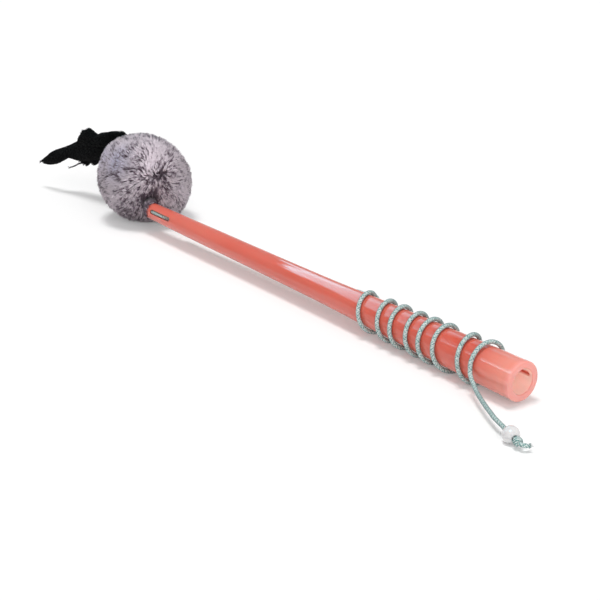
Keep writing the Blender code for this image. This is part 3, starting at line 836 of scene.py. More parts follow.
@dataclass
class BraidTube:
    """Round braid along a chain of points, each crossing of two yarns a small bump."""

    radius: float = 2.0 * MM
    relief: float = 0.11 * MM
    around: int = 16
    ring_step: float = 0.62 * MM
    near_upright: float = 0.1
    yarns_one_way: tuple[float, ...] = (0.0, 0.0, 0.55, 0.0, 0.15, 0.5, 0.0, 0.9)
    yarns_other_way: tuple[float, ...] = (0.1, 0.5, 0.0, 0.0, 0.85, 0.0, 0.45, 0.0)

    def frames(self, chain: np.ndarray) -> tuple[np.ndarray, np.ndarray]:
        """Directions across a chain that turn with it as little as they can.

        Args:
            chain: The points.

        Returns:
            Two arrays of unit vectors square to the chain and to each other.
        """
        ahead = units(np.gradient(chain, axis=0))
        first = np.cross(ahead[0], (0.0, 0.0, 1.0))
        if np.linalg.norm(first) < self.near_upright:
            first = np.cross(ahead[0], (0.0, 1.0, 0.0))
        side = np.zeros_like(chain)
        side[0] = heading(first)
        for index in range(1, len(chain)):
            side[index] = heading(side[index - 1] - ahead[index] * (side[index - 1] @ ahead[index]))
        return side, np.cross(ahead, side)

    def build(self, name: str, chain: np.ndarray, taper: Callable[[np.ndarray], np.ndarray] | None = None,
              floor: float | None = None) -> bpy.types.Object:
        """Make the tube.

        Args:
            name: The piece's name.
            chain: The line's centre, as points.
            taper: Gives the share of the full radius for each place from 0 to 1.
            floor: Height that the yarns are pressed flat on, if any.

        Returns:
            The piece.
        """
        centres = evenly(chain, self.ring_step)
        side, above = self.frames(centres)
        count = len(centres)
        share = np.ones(count) if taper is None else taper(np.linspace(0, 1, count))
        row, column = np.meshgrid(np.arange(count), np.arange(self.around), indexing="ij")
        high = (row + column) % 2 == 0
        angle = 2 * math.pi * column / self.around
        out = (self.radius + np.where(high, self.relief, -self.relief)) * share[:, None]
        vertices = (centres[:, None, :] + side[:, None, :] * (out * np.cos(angle))[..., None]
                    + above[:, None, :] * (out * np.sin(angle))[..., None])
        if floor is not None:
            vertices[..., 2] = np.maximum(vertices[..., 2], floor)
        half = self.around // 2
        one_way = np.array(self.yarns_one_way)[((row + column) // 2) % half]
        other_way = np.array(self.yarns_other_way)[((column - row) // 2) % half]
        yarn = np.where(((row + column) // 2 + (column - row) // 2) % 2 == 0, one_way, other_way)
        gap = np.where(high, 0.0, 1.0)
        index = np.arange(count * self.around).reshape(count, self.around)
        caps = [index[0][::-1].tolist(), index[-1].tolist()]
        return make_object(name, vertices.reshape(-1, 3), quads(index) + caps,
                           {"yarn": yarn.ravel(), "gap": gap.ravel()})


@dataclass
class Spikes:
    """Many thin closed strands, pointed at both ends, that stand for fur or pile."""

    width: float = 0.34 * MM
    flat: float = 0.7
    middle_rise: float = 0.5
    corner_turns: Triple = (90, 210, 330)
    strand_faces: tuple[tuple[int, int, int], ...] = (
        (0, 2, 1), (0, 3, 2), (0, 1, 3), (1, 2, 4), (2, 3, 4), (3, 1, 4))

    def build(self, name: str, roots: np.ndarray, middles: np.ndarray, tips: np.ndarray,
              facing: np.ndarray, numbers: dict[str, np.ndarray]) -> bpy.types.Object:
        """Make one mesh of all the strands.

        Args:
            name: The piece's name.
            roots: Where each strand starts.
            middles: Where each strand is widest and bends.
            tips: Where each strand ends.
            facing: A direction for each strand that isn't along it.
            numbers: One number for each strand, by name, for its finish.

        Returns:
            The piece.
        """
        axis = units(tips - roots)
        across = units(np.cross(axis, facing))
        other = np.cross(axis, across)
        corners = [roots]
        for turn in np.radians(self.corner_turns):
            corners.append(middles + self.width * (across * math.cos(turn) + other * self.flat * math.sin(turn)))
        corners.append(tips)
        count, each = len(roots), len(corners)
        faces = (np.array(self.strand_faces)[None] + each * np.arange(count)[:, None, None]).reshape(-1, 3)
        stored = {"rise": np.tile([0, self.middle_rise, self.middle_rise, self.middle_rise, 1.0], count)}
        stored.update({key: np.repeat(values, each) for key, values in numbers.items()})
        return make_object(name, np.stack(corners, axis=1).reshape(-1, 3), faces.tolist(), stored)


@dataclass
class Wand:
    """Hollow tapered wand with its bore, keyway, tip hole and slot.

    Stations run from the butt to the tip. The tables give them in millimetres.
    """

    length: float = 607.0 * MM
    outer: tuple[Pair, ...] = ((0, 18.5), (60, 17.8), (110, 16.9), (160, 15.9), (210, 14.7), (270, 13.1),
                               (350, 12.1), (450, 11.2), (550, 10.3), (597, 9.6))
    dome: float = 10.0 * MM
    rim: float = 1.6 * MM
    lip: float = 1.1 * MM
    bore: float = 12.0 * MM
    bore_straight: float = 40.0 * MM
    bore_end: float = 532.0 * MM
    tip_wall: float = 4.2 * MM
    keyway: tuple[float, float, float, float] = (4.0 * MM, 44.0 * MM, 5.0 * MM, 3.6 * MM)
    keyway_angle: float = math.radians(12)
    slot: Triple = (547.0 * MM, 589.5 * MM, 5.0 * MM)
    slot_angle: float = math.radians(22)
    end_hole: float = 2.4 * MM
    end_hole_rise: float = 0.35
    end_hole_lead: float = 3.0 * MM
    end_hole_reach: float = 0.9
    cut_reach: float = 20.0 * MM
    sides: int = 128
    hole_sides: int = 32
    slot_steps: int = 20
    lip_steps: int = 8
    rim_steps: int = 10
    blind_turns: tuple[float, float, int] = (0, 84, 9)
    bore_stations: tuple[float, float, int] = (530, 8, 60)
    outer_stations: tuple[float, float, int] = (8, 597, 90)
    dome_turns: tuple[float, float, int] = (8, 88, 16)
    edge: float = 0.35 * MM
    edge_segments: int = 3
    edge_from: float = math.radians(38)
    crease: float = math.radians(40)
    finish: CoralPlastic = field(default_factory=CoralPlastic)

    def outer_radius(self, station: float) -> float:
        """Outer radius at a distance from the butt, both in metres."""
        return along_table(self.outer, station / MM) * MM

    def bore_radius(self, station: float) -> float:
        """Bore's radius: straight behind the mouth, then a wall that thickens towards the tip.

        Args:
            station: Distance from the butt, in metres.

        Returns:
            The radius, in metres.
        """
        if station <= self.bore_straight:
            return self.bore
        start = self.outer_radius(self.bore_straight) - self.bore
        part = (station - self.bore_straight) / (self.bore_end - self.bore_straight)
        wall = start + (self.tip_wall - start) * math.sin(part * math.pi / 2)
        return self.outer_radius(station) - wall

    def profile(self) -> list[Pair]:
        """Draw the profile from the bore's blind end, out round the rim, to the tip.

        Returns:
            Pairs of a place along X and a radius.
        """
        end = self.bore_radius(self.bore_end)
        points = [(-self.bore_end - end * math.cos(turn), end * math.sin(turn))
                  for turn in np.radians(np.linspace(*self.blind_turns))]
        points[0] = (-self.bore_end - end, 0.0)
        for station in np.linspace(*self.bore_stations):
            points.append((-station * MM, self.bore_radius(station * MM)))
        points += arc((-self.lip, self.bore + self.lip), self.lip, -90, 0, self.lip_steps)
        points += arc((-self.rim, self.outer_radius(0) - self.rim), self.rim, 0, 90, self.rim_steps)
        for station in np.linspace(*self.outer_stations):
            points.append((-station * MM, self.outer_radius(station * MM)))
        start = self.length - self.dome
        base = self.outer_radius(start)
        for turn in np.radians(np.linspace(*self.dome_turns)):
            points.append((-start - self.dome * math.sin(turn), base * math.cos(turn)))
        points.append((-self.length, 0.0))
        return points

    def stadium(self, name: str, low: float, high: float, width: float, out_from: float,
                out_to: float) -> bpy.types.Object:
        """Make a rounded slot as a solid along X that reaches outwards along Z.

        Args:
            name: The solid's name.
            low: Its lowest X.
            high: Its highest X.
            width: Its width along Y.
            out_from: Its lowest Z.
            out_to: Its highest Z.

        Returns:
            The solid.
        """
        half = width / 2
        outline = arc((high - half, 0.0), half, -90, 90, self.slot_steps)
        outline += arc((low + half, 0.0), half, 90, 270, self.slot_steps)
        count = len(outline)
        vertices = [(x, y, z) for z in (out_from, out_to) for x, y in outline]
        faces = [list(range(count))[::-1], list(range(count, 2 * count))]
        faces += [[index, (index + 1) % count, count + (index + 1) % count, count + index]
                  for index in range(count)]
        return make_object(name, np.array(vertices), faces)

    def cutters(self) -> list[bpy.types.Object]:
        """Make the solids that are cut from the wand.

        Returns:
            The slot, the keyway and the end hole.
        """
        start, end, width = self.slot
        slot = self.stadium("slot_cut", -end, -start, width, -self.cut_reach, self.cut_reach)
        slot.data.transform(Matrix.Rotation(math.pi / 2 - self.slot_angle, 4, "X"))
        first, last, key_width, depth = self.keyway
        key = self.stadium("keyway_cut", -last, -first, key_width, self.bore / 2, self.bore + depth)
        key.data.transform(Matrix.Rotation(self.keyway_angle - math.pi / 2, 4, "X"))
        low, high = -self.end_hole_lead, self.length - end + self.end_hole_reach * width
        hole = [(low, 0.0), (low, self.end_hole), (high, self.end_hole), (high, 0.0)]
        drill = make_object("end_hole_cut", *lathe(hole, self.hole_sides))
        rise = self.end_hole_rise
        inward = Vector((1, -rise * math.cos(self.slot_angle), rise * math.sin(self.slot_angle)))
        drill.data.transform(axes_along(inward, (-self.length, 0, 0)))
        tidy_normals(drill)
        return [slot, key, drill]

    def build(self) -> None:
        """Turn the wand, cut it and dress it."""
        shell = make_object("wand_shell", *lathe(self.profile(), self.sides))
        tidy_normals(shell)
        cutters = self.cutters()
        for cutter in cutters:
            cut = shell.modifiers.new(cutter.name, "BOOLEAN")
            cut.operation = "DIFFERENCE"
            cut.solver = "EXACT"
            cut.object = cutter
        settle_modifiers(shell)
        for cutter in cutters:
            bpy.data.objects.remove(cutter)
        soften = shell.modifiers.new("soft_edges", "BEVEL")
        soften.width = self.edge
        soften.segments = self.edge_segments
        soften.limit_method = "ANGLE"
        soften.angle_limit = self.edge_from
        soften.use_clamp_overlap = True
        settle_modifiers(shell)
        shell.data.shade_smooth()
        shell.data.set_sharp_from_angle(angle=self.crease)
        shell.matrix_world = WAND_FRAME
        dress(shell, self.finish.material(), Body.WAND, ["wand_tube"])


@dataclass
class Line:
    """Braided line: in the tip, behind the wand, round the handle, and its free end.

    The tables and the lengths that are named mm are in millimetres.
    """

    wand: Wand
    radius: float = 2.0 * MM
    turns_near: tuple[float, ...] = (43.5, 60.0, 93.0, 113.0, 130.5, 153.0, 171.0, 199.5)
    next_turn_mm: float = 6.0
    start_turn: float = math.radians(30)
    end_turn: float = math.radians(7 * 360 + 140)
    wound_points: int = 1200
    side_slack: float = 0.5 * MM
    top_slack: tuple[Pair, ...] = ((0.25, 1.7), (1.25, 1.1), (2.25, 0.5), (7.25, 0.4))
    far_lean: tuple[Pair, ...] = ((0.5, 6.0), (1.5, 1.5), (2.5, 2.5), (3.5, 0.0), (4.5, -0.8), (5.5, -2.0),
                                  (6.5, -1.5), (7.5, 0.5))
    bottom_slack: float = 0.9 * MM
    least_slack: float = 0.3 * MM
    pressed: float = 0.4 * MM
    in_slot: tuple[Pair, ...] = (
        (607.0, 0.0), (601.0, 2.1), (595.0, 4.2), (590.4, 5.81), (585.6, 6.95), (580.5, 7.2), (575.5, 7.2),
        (570.0, 7.2), (564.8, 6.7), (559.8, 5.0), (556.4, 2.1), (554.5, -1.4), (554.0, -5.1),
        (553.3, -8.3), (551.6, -10.8), (548.9, -12.5), (545.6, -13.1), (541.6, -13.1))
    behind: tuple[Triple, ...] = (
        (520, 0.7, -22), (490, 0.9, -20), (450, 0.8, -16), (405, 1.0, -11), (360, 0.8, -5), (315, 0.9, 0),
        (280, 0.8, 5), (255, 0.8, 11), (238, 0.9, 19))
    free: tuple[Triple, ...] = (
        (383.3, -45.0, 24.4), (385.6, -46.4, 18.9), (391.4, -48.6, 14.6), (402.3, -54.4, 11.6),
        (413.6, -60.4, 10.8), (425.6, -66.6, 10.4), (436.2, -71.6, 10.1))
    join_winding: Pair = (8 * MM, 3 * MM)
    leave_winding: float = 3 * MM
    bead_centre: Triple = (472.2, -83.8, 7.5)
    free_way: Triple = (0.955, -0.285, -0.08)
    through_bead_mm: tuple[float, ...] = (28, 18, 8, 0, -8)
    rough_step: float = 1 * MM
    step: float = 0.5 * MM
    smoothings: int = 6
    finish: BraidedYarn = field(default_factory=BraidedYarn)
    chain: np.ndarray = field(init=False)

    def slot_point(self, station: float, offset: float) -> Vector:
        """Point in the tip at a station, offset towards the slot's open side, both in millimetres."""
        angle = self.wand.slot_angle
        return WAND_FRAME @ (Vector((-station, -math.cos(angle) * offset, math.sin(angle) * offset)) * MM)

    def behind_point(self, station: float, gap: float, degrees: float) -> Vector:
        """Find a point on the wand's far side.

        Args:
            station: Distance from the butt, in millimetres.
            gap: Room between line and wand, in millimetres.
            degrees: Angle round the wand, from its far side upwards.

        Returns:
            The line's centre there.
        """
        out = self.wand.outer_radius(station * MM) + self.radius + gap * MM
        turn = math.radians(degrees)
        return WAND_FRAME @ Vector((-station * MM, out * math.cos(turn), out * math.sin(turn)))

    def turn_point(self, turn: float) -> Vector:
        """Find a point on the winding.

        Args:
            turn: Angle counted from the near side of the turn next to the butt, in radians.

        Returns:
            The line's centre there.
        """
        turns = list(enumerate(self.turns_near))
        turns.append((len(turns), 2 * self.turns_near[-1] - self.turns_near[-2] + self.next_turn_mm))
        count = turn / (2 * math.pi)
        lean = along_table(self.far_lean, count) * (1 - math.cos(turn)) / 2
        station = (along_table(turns, count) - lean) * MM
        up = math.sin(turn)
        outer = self.wand.outer_radius(station)
        room = BUTT.z + station * math.tan(SLOPE) - outer - 2 * self.radius + self.pressed
        below = min(max(room, self.least_slack), self.bottom_slack)
        if up > 0:
            slack = self.side_slack + (along_table(self.top_slack, count) * MM - self.side_slack) * up
        else:
            slack = self.side_slack + (below - self.side_slack) * up * up
        out = outer + self.radius + slack
        return WAND_FRAME @ Vector((-station, -out * math.cos(turn), out * up))

    def route(self) -> np.ndarray:
        """Lay the whole line's centre, from the tip's end to the bead's far side.

        Returns:
            The centre's points.
        """
        tip = smooth_route([self.slot_point(*pair) for pair in self.in_slot], self.rough_step)
        turns = np.linspace(self.end_turn, self.start_turn, self.wound_points)
        wound = rows(self.turn_point(turn) for turn in turns)
        join = heading(wound[0] - wound[1])
        leave = heading(wound[-1] - wound[-2])
        back = [tip[-1]] + [self.behind_point(*place) for place in self.behind]
        back += [wound[0] + reach * join for reach in self.join_winding]
        way = Vector(self.free_way).normalized()
        bead = Vector(self.bead_centre) * MM
        loose = [wound[-1] + self.leave_winding * leave]
        loose += [Vector(point) * MM for point in self.free]
        loose += [bead - way * reach * MM for reach in self.through_bead_mm]
        parts = [tip[:-1], smooth_route(back, self.rough_step), wound, smooth_route(loose, self.rough_step)]
        chain = evenly(np.vstack(parts), self.step)
        for _ in range(self.smoothings):
            chain[1:-1] = (chain[:-2] + 2 * chain[1:-1] + chain[2:]) / 4
        return chain

    def build(self) -> bpy.types.Object:
        """Braid the line and dress it.

        Returns:
            The line.
        """
        self.chain = self.route()
        piece = BraidTube(self.radius).build("braided_line", self.chain, floor=0.0)
        dress(piece, self.finish.material(), Body.WAND,
              ["line_in_slot", "line_back_run", "line_winding", "line_free_end"])
        log.info("line: %.0f mm", chain_length(self.chain) / MM)
        return piece


@dataclass
class FreeEnd:
    """Bead on the line's end, its stop knot and the short frayed stub.

    The tables and the lengths that are named mm are in millimetres.
    """

    line: Line
    bead_radius: float = 7.5 * MM
    bead_steps: int = 40
    bead_sides: int = 64
    bead_crease: float = 50.0
    hole: float = 2.5 * MM
    hole_lip: float = 0.6 * MM
    lip_steps: int = 5
    knot_radius: float = 2.45 * MM
    knot_yarn: float = 1.6 * MM
    knot_gap: float = 0.4 * MM
    knot_length: float = 6.4 * MM
    knot_tightness: float = 0.62
    knot_waist: float = 0.10
    knot_phase: float = 0.6
    knot_sway: float = 0.25 * MM
    knot_steps: int = 200
    wraps: float = 2.6
    stub_share: float = 0.93
    stub_start: float = 1 * MM
    stub_bend_mm: float = 15.6
    stub_route: tuple[Triple, ...] = ((1.2, 0.15, -0.15), (2.9, 1.0, -0.45), (4.3, 2.7, -0.8), (5.4, 4.9, -1.1))
    stub_step: float = 0.5 * MM
    cut_from: float = 0.8
    cut_narrowing: float = 0.18
    threads: int = 26
    thread_width: float = 0.30 * MM
    thread_back_mm: float = 1.2
    thread_spread_mm: float = 1.5
    thread_out: Pair = (0.2, 1.0)
    thread_reach_mm: Pair = (1.2, 3.6)
    thread_splay: float = 0.45
    thread_bow: float = 0.25 * MM
    thread_floor: float = 0.35 * MM
    thread_yarns: Triple = (0.4, 0.7, 1.0)
    seed: int = 11
    finish: PearlPlastic = field(default_factory=PearlPlastic)

    def place(self) -> tuple[Vector, Vector, Matrix]:
        """Find where the bead is.

        Returns:
            The bead's centre, the line's way through it, and the bead's own axes.
        """
        way = Vector(self.line.free_way).normalized()
        centre = Vector(self.line.bead_centre) * MM
        return centre, way, axes_along(way, centre)

    def bead(self) -> bpy.types.Object:
        """Turn the bead.

        Returns:
            The bead.
        """
        _, _, axes = self.place()
        mouth = self.hole + self.hole_lip
        edge = math.degrees(math.asin(mouth / self.bead_radius))
        reach = self.bead_radius * math.cos(math.radians(edge))
        profile = arc((0, 0), self.bead_radius, 180 - edge, edge, self.bead_steps)
        profile += arc((reach - self.hole_lip, mouth), self.hole_lip, 0, -90, self.lip_steps)[1:]
        profile += arc((-reach + self.hole_lip, mouth), self.hole_lip, -90, -180, self.lip_steps)[:-1]
        piece = make_object("pearl_bead", *lathe(profile, self.bead_sides, closed=True), crease=self.bead_crease)
        tidy_normals(piece)
        piece.matrix_world = axes
        return dress(piece, self.finish.material(), Body.BEAD, ["line_bead"])

    def knot(self) -> bpy.types.Object:
        """Wrap the line round itself behind the bead.

        Returns:
            The knot.
        """
        _, _, axes = self.place()
        start = self.bead_radius + self.knot_gap + self.knot_yarn
        points = []
        for step in range(self.knot_steps + 1):
            part = step / self.knot_steps
            angle = 2 * math.pi * self.wraps * part + self.knot_phase
            sway = self.knot_sway * math.sin(angle)
            out = self.knot_radius * (1 - self.knot_waist * (2 * part - 1) ** 2)
            points.append(axes @ Vector((start + self.knot_length * self.knot_tightness * part + sway,
                                         out * math.cos(angle), out * math.sin(angle))))
        braid = BraidTube(self.knot_yarn, around=14, ring_step=0.55 * MM,
                          yarns_one_way=(0.0, 0.5, 0.0, 0.8, 0.0, 0.5, 0.1),
                          yarns_other_way=(0.5, 0.0, 0.8, 0.0, 0.1, 0.5, 0.0))
        piece = braid.build("stop_knot", rows(points), floor=0.0)
        return dress(piece, self.line.finish.material(), Body.WAND, ["line_stop_knot"])

    def stub_chain(self) -> np.ndarray:
        """Lay the centre of the cut stub behind the knot.

        Returns:
            The centre's points.
        """
        centre, way, _ = self.place()
        start = centre + way * (self.bead_radius + self.stub_start)
        bend = centre + way * self.stub_bend_mm * MM
        return smooth_route([start, bend] + [bend + Vector(step) * MM for step in self.stub_route], self.stub_step)

    def cut_taper(self, place: np.ndarray) -> np.ndarray:
        """Share of the stub's full radius at each place along it, from 0 to 1."""
        return 1 - self.cut_narrowing * np.clip((place - self.cut_from) / (1 - self.cut_from), 0, 1)

    def stub(self) -> bpy.types.Object:
        """Braid the stub, which narrows at its cut.

        Returns:
            The stub.
        """
        braid = BraidTube(self.stub_share * self.line.radius)
        piece = braid.build("cut_stub", self.stub_chain(), taper=self.cut_taper, floor=0.0)
        return dress(piece, self.line.finish.material(), Body.WAND, ["line_cut_end"])

    def fray(self) -> bpy.types.Object:
        """Splay loose yarns at the cut.

        Returns:
            The loose yarns.
        """
        chain = self.stub_chain()
        rng = np.random.default_rng(self.seed)
        end, ahead = chain[-1], heading(chain[-1] - chain[-5])
        spread = rng.normal(0, 1, (self.threads, 3))
        spread -= (spread @ ahead)[:, None] * ahead
        spread = units(spread)
        out = rng.uniform(*self.thread_out, (self.threads, 1))
        roots = end - ahead * self.thread_back_mm * MM + spread * out * self.thread_spread_mm * MM
        reach = rng.uniform(*self.thread_reach_mm, (self.threads, 1)) * MM
        tips = roots + ahead * (reach + self.thread_back_mm * MM) + spread * reach * self.thread_splay * out
        middles = (roots + tips) / 2 + spread * self.thread_bow
        for points in (roots, middles, tips):
            points[:, 2] = np.maximum(points[:, 2], self.thread_floor)
        piece = Spikes(self.thread_width).build("frayed_yarns", roots, middles, tips, np.cross(ahead, spread),
                                                {"yarn": rng.choice(self.thread_yarns, self.threads)})
        return dress(piece, self.line.finish.material(), Body.WAND)

    def build(self) -> list[bpy.types.Object]:
        """Build the bead, knot, stub and fray."""
        return [self.bead(), self.knot(), self.stub(), self.fray()]


@dataclass
class Tether:
    """Short bit of line between the wand's tip and the knot in the lure."""

    line: Line
    bend_radius: float = 1.95 * MM
    bend_steps: int = 20
    bend_sides: int = 28
    weave: float = 0.03
    stuffing_radius: float = 44.7 * MM
    start: float = 1.2 * MM
    into_knot: float = 2 * MM
    points: int = 30
    knot_from: float = 2.6 * MM
    knot_length: float = 5.0 * MM
    knot_radius: float = 3.2 * MM
    knot_yarn: float = 1.8 * MM
    knot_wraps: int = 3
    knot_steps: int = 160

    def build(self) -> None:
        """Build the bend, the tether and its hidden knot."""
        finish = self.line.finish.material()
        bend = make_object("line_elbow", *lathe(arc((0, 0), self.bend_radius, 180, 0, self.bend_steps),
                                                self.bend_sides))
        bend.data.vertices.foreach_set("co", self.woven(bend))
        tidy_normals(bend)
        bend.matrix_world = Matrix.Translation(PIVOT)
        dress(bend, finish, Body.BEND, ["line_bend"])
        reach = (LURE_CENTRE - PIVOT).length - self.stuffing_radius
        places = np.linspace(self.start, reach + self.into_knot, self.points)
        chain = rows(PIVOT + LURE_AXIS * place for place in places)
        piece = BraidTube(self.line.radius).build("lure_tether", chain)
        dress(piece, finish, Body.TETHER, ["line_tether"])
        self.knot(finish, reach)

    def woven(self, piece: bpy.types.Object) -> np.ndarray:
        """Raise and lower the points of a ball a little, as its yarns cross.

        Args:
            piece: The ball.

        Returns:
            The points' coordinates in one row.
        """
        points = rows(vertex.co for vertex in piece.data.vertices)
        over = np.where(np.arange(len(points)) % 2 == 0, 1, -1)
        return (points * (1 + self.weave * over)[:, None]).astype(np.float32).ravel()

    def knot(self, finish: bpy.types.Material, reach: float) -> None:
        """Wrap the knot that holds the lure.

        Args:
            finish: The line's material.
            reach: Distance from the bend to the stuffing, in metres.
        """
        axes = axes_along(LURE_AXIS, PIVOT)
        points = []
        for step in range(self.knot_steps + 1):
            angle = 2 * math.pi * self.knot_wraps * step / self.knot_steps
            along = reach + self.knot_from + self.knot_length * step / self.knot_steps
            points.append(axes @ Vector((along, self.knot_radius * math.cos(angle),
                                         self.knot_radius * math.sin(angle))))
        piece = BraidTube(self.knot_yarn, around=12).build("lure_knot", rows(points))
        dress(piece, finish, Body.TETHER, ["tether_knot"])


@dataclass(frozen=True)
class Swirl:
    """One layer of a smooth random field: its amount, how many waves it adds up, and how close they are."""

    amount: float
    waves: int
    pitch: float


@dataclass(frozen=True)
class SewnRing:
    """Ring of twisted thread round an opening: its radius, the thread's, and how far out of the fur it sits."""

    radius: float
    thread: float
    seat: float
    steps: int = 120
    corners: int = 12
    twists: int = 14
    plies: int = 3
    ply_relief: float = 0.12

    def build(self, name: str, toward: Vector, out: float) -> bpy.types.Object:
        """Make the ring round an axis through the lure's centre.

        Args:
            name: The piece's name.
            toward: The axis.
            out: Distance of the fur's tips from the centre, in metres.

        Returns:
            The ring.
        """
        axes = axes_along(toward, LURE_CENTRE)
        vertices = []
        for step in range(self.steps):
            angle = 2 * math.pi * step / self.steps
            for corner in range(self.corners):
                turn = 2 * math.pi * corner / self.corners
                ply = 1 + self.ply_relief * math.cos(self.plies * turn + self.twists * angle)
                radial = self.radius + self.thread * ply * math.cos(turn)
                vertices.append(axes @ Vector((out + self.seat + self.thread * ply * math.sin(turn),
                                               radial * math.cos(angle), radial * math.sin(angle))))
        index = np.arange(self.steps * self.corners).reshape(self.steps, self.corners)
        ahead, after = np.roll(index, -1, axis=0), np.roll(index, -1, axis=1)
        faces = np.stack([index, ahead, np.roll(ahead, -1, axis=1), after], axis=-1).reshape(-1, 4).tolist()
        piece = make_object(name, rows(vertices), faces)
        tidy_normals(piece)
        return piece


@dataclass
class Lure:
    """Ball of short fur, drawn in at a whorl, its mouth and its tail's root.

    A fold is a direction, a depth in millimetres and a spread in degrees; a spot is a patch's place across and up in
    the photographed view in millimetres, its amount, and its spread in degrees.
    """

    envelope: float = 52.5 * MM
    squash: float = 0.99
    whorl: Triple = (0.829, -0.383, 0.408)
    folds: tuple[tuple[Triple, float, float], ...] = (
        ((0.829, -0.383, 0.408), 3.6, 15), ((0.60, -0.72, 0.35), 1.6, 11), ((0.96, -0.27, 0.02), 1.6, 12),
        ((0.55, -0.60, -0.58), 1.8, 16), ((-0.10, -0.86, 0.50), 1.6, 15), ((0.35, -0.45, 0.82), 1.4, 14),
        ((0.70, 0.55, 0.45), 1.8, 16), ((-0.35, 0.55, 0.75), 1.6, 16), ((-0.55, -0.70, -0.40), 1.8, 16),
        ((-0.65, -0.50, 0.58), -5.6, 30), ((0.63, 0.42, -0.65), -5.6, 26), ((0.12, 0.63, 0.77), 3.0, 30),
        ((-0.53, -0.82, -0.19), -2.5, 28), ((0.61, 0.80, 0.0), -1.9, 28))
    mouth: Pair = (5.3, 20)
    tail_draw: Pair = (3.5, 17)
    skin_floor: float = 1.2 * MM
    skin_fineness: int = 6
    skin_rise: float = 0.12
    skin_shade: float = 0.4
    pile_height: float = 5.6 * MM
    pile_length: float = 11.5 * MM
    root_depth: float = 0.4 * MM
    strands: int = 90000
    strand_jitter: float = 1.8
    clumps: int = 6200
    clump_jitter: float = 2.0
    clump_shade: Pair = (0.5, 0.26)
    clump_stretch: Pair = (0.85, 1.12)
    strand_stretch: Pair = (0.86, 1.12)
    clump_pull: float = 0.70
    strand_pull: Pair = (0.6, 1.2)
    tip_jitter: float = 0.3 * MM
    middle_share: float = 0.45
    middle_bow: float = 0.16
    mouth_clear: float = 3.6
    band_edge: float = 1 / 3
    lean: float = 0.94
    least_lean: float = 0.55
    least_length: float = 0.66
    swirls: tuple[Swirl, ...] = (Swirl(0.26, 7, 3.0), Swirl(0.16, 9, 8.0))
    firm_from: float = 0.45
    firmness: float = 0.85
    firm_swirls: tuple[Swirl, ...] = (Swirl(0.20, 12, 15.0), Swirl(0.12, 12, 30.0))
    firm_range: Pair = (0.35, 1.15)
    spot_right: Triple = (0.606, 0.796, 0.0)
    spot_up: Triple = (-0.282, 0.214, 0.935)
    spot_near: Triple = (0.744, -0.566, 0.354)
    spot_radius: float = 52.0
    # Lighter and darker spots over the ball, placed as seen from the camera: partly painted light and shade, partly
    # the fur's own patches.
    shadings_and_patches: tuple[Spot, ...] = (
        (20, -17, -0.26, 14), (37, -7, 0.08, 10), (5, -31, -0.30, 16), (50, 17, -0.22, 6), (16, 45, -0.28, 8),
        (-6, 50, -0.15, 8), (-50, -6, -0.40, 6), (-27, 10, -0.16, 6), (-12, 1, -0.14, 6), (-40, -33, -0.25, 9),
        (20, 30, 0.30, 10), (11, 17, 0.32, 9), (46, 9, 0.34, 7), (46, -16, 0.30, 8), (-8, -7, 0.16, 8),
        (-42, 32, 0.34, 16), (-33, -18, 0.10, 10), (10, 4, 0.12, 6), (-14, -44, -0.16, 14))
    cools: tuple[Spot, ...] = ((-25, 14, 0.7, 18), (-45, 20, 0.5, 15))
    floor_gap: float = 0.9 * MM
    floor_layers: float = 0.02
    mouth_ring: SewnRing = SewnRing(4.6 * MM, 1.05 * MM, 1.9 * MM)
    tail_ring: SewnRing = SewnRing(10.2 * MM, 1.2 * MM, 2.8 * MM)
    seed: int = 5
    fur: FurColours = field(default_factory=FurColours)
    thread: SewingThread = field(default_factory=SewingThread)

    def radius(self, ways: np.ndarray) -> np.ndarray:
        """Find how far the fur's tips are from the ball's centre.

        Args:
            ways: Directions from the ball's centre.

        Returns:
            The distance in each direction, in metres.
        """
        out = np.full(len(ways), self.envelope)
        draws = list(self.folds) + [(tuple(-LURE_AXIS), *self.mouth), (tuple(LURE_AXIS), *self.tail_draw)]
        for toward, depth, spread in draws:
            out -= depth * MM * np.exp(-((degrees_from(heading(toward), ways) / spread) ** 2))
        return out

    def skin_points(self, ways: np.ndarray, below: float) -> np.ndarray:
        """Find points under the fur's tips, kept above the floor.

        Args:
            ways: Directions from the ball's centre.
            below: How deep under the tips, in metres.

        Returns:
            The points.
        """
        points = ways * (self.radius(ways) - below)[:, None]
        points[:, 2] *= self.squash
        points += np.array(LURE_CENTRE)
        points[:, 2] = np.maximum(points[:, 2], self.skin_floor)
        return points

    @staticmethod
    def spread(count: int, rng: np.random.Generator, jitter: float) -> np.ndarray:
        """Spread directions evenly over a ball, then shift them a little.

        Args:
            count: How many there are.
            rng: The random numbers.
            jitter: The shift, as a share of the room that each has.

        Returns:
            The directions.
        """
        index = np.arange(count) + 0.5
        height = 1 - 2 * index / count
        angle = GOLDEN_TURN * index
        flat = np.sqrt(1 - height ** 2)
        ways = np.column_stack([flat * np.cos(angle), flat * np.sin(angle), height])
        ways += rng.normal(0, jitter / math.sqrt(count), ways.shape)
        return units(ways)

    @staticmethod
    def ripple(ways: np.ndarray, rng: np.random.Generator, swirl: Swirl) -> np.ndarray:
        """Make a smooth random field over the ball.

        Args:
            ways: Directions from the ball's centre.
            rng: The random numbers.
            swirl: The field's settings.

        Returns:
            One vector for each direction.
        """
        total = np.zeros_like(ways)
        for _ in range(swirl.waves):
            wave = rng.normal(0, swirl.pitch, 3)
            push = rng.normal(0, 1, 3)
            total += np.sin(ways @ wave + rng.uniform(0, 2 * math.pi))[:, None] * push
        return swirl.amount * (total / math.sqrt(swirl.waves))

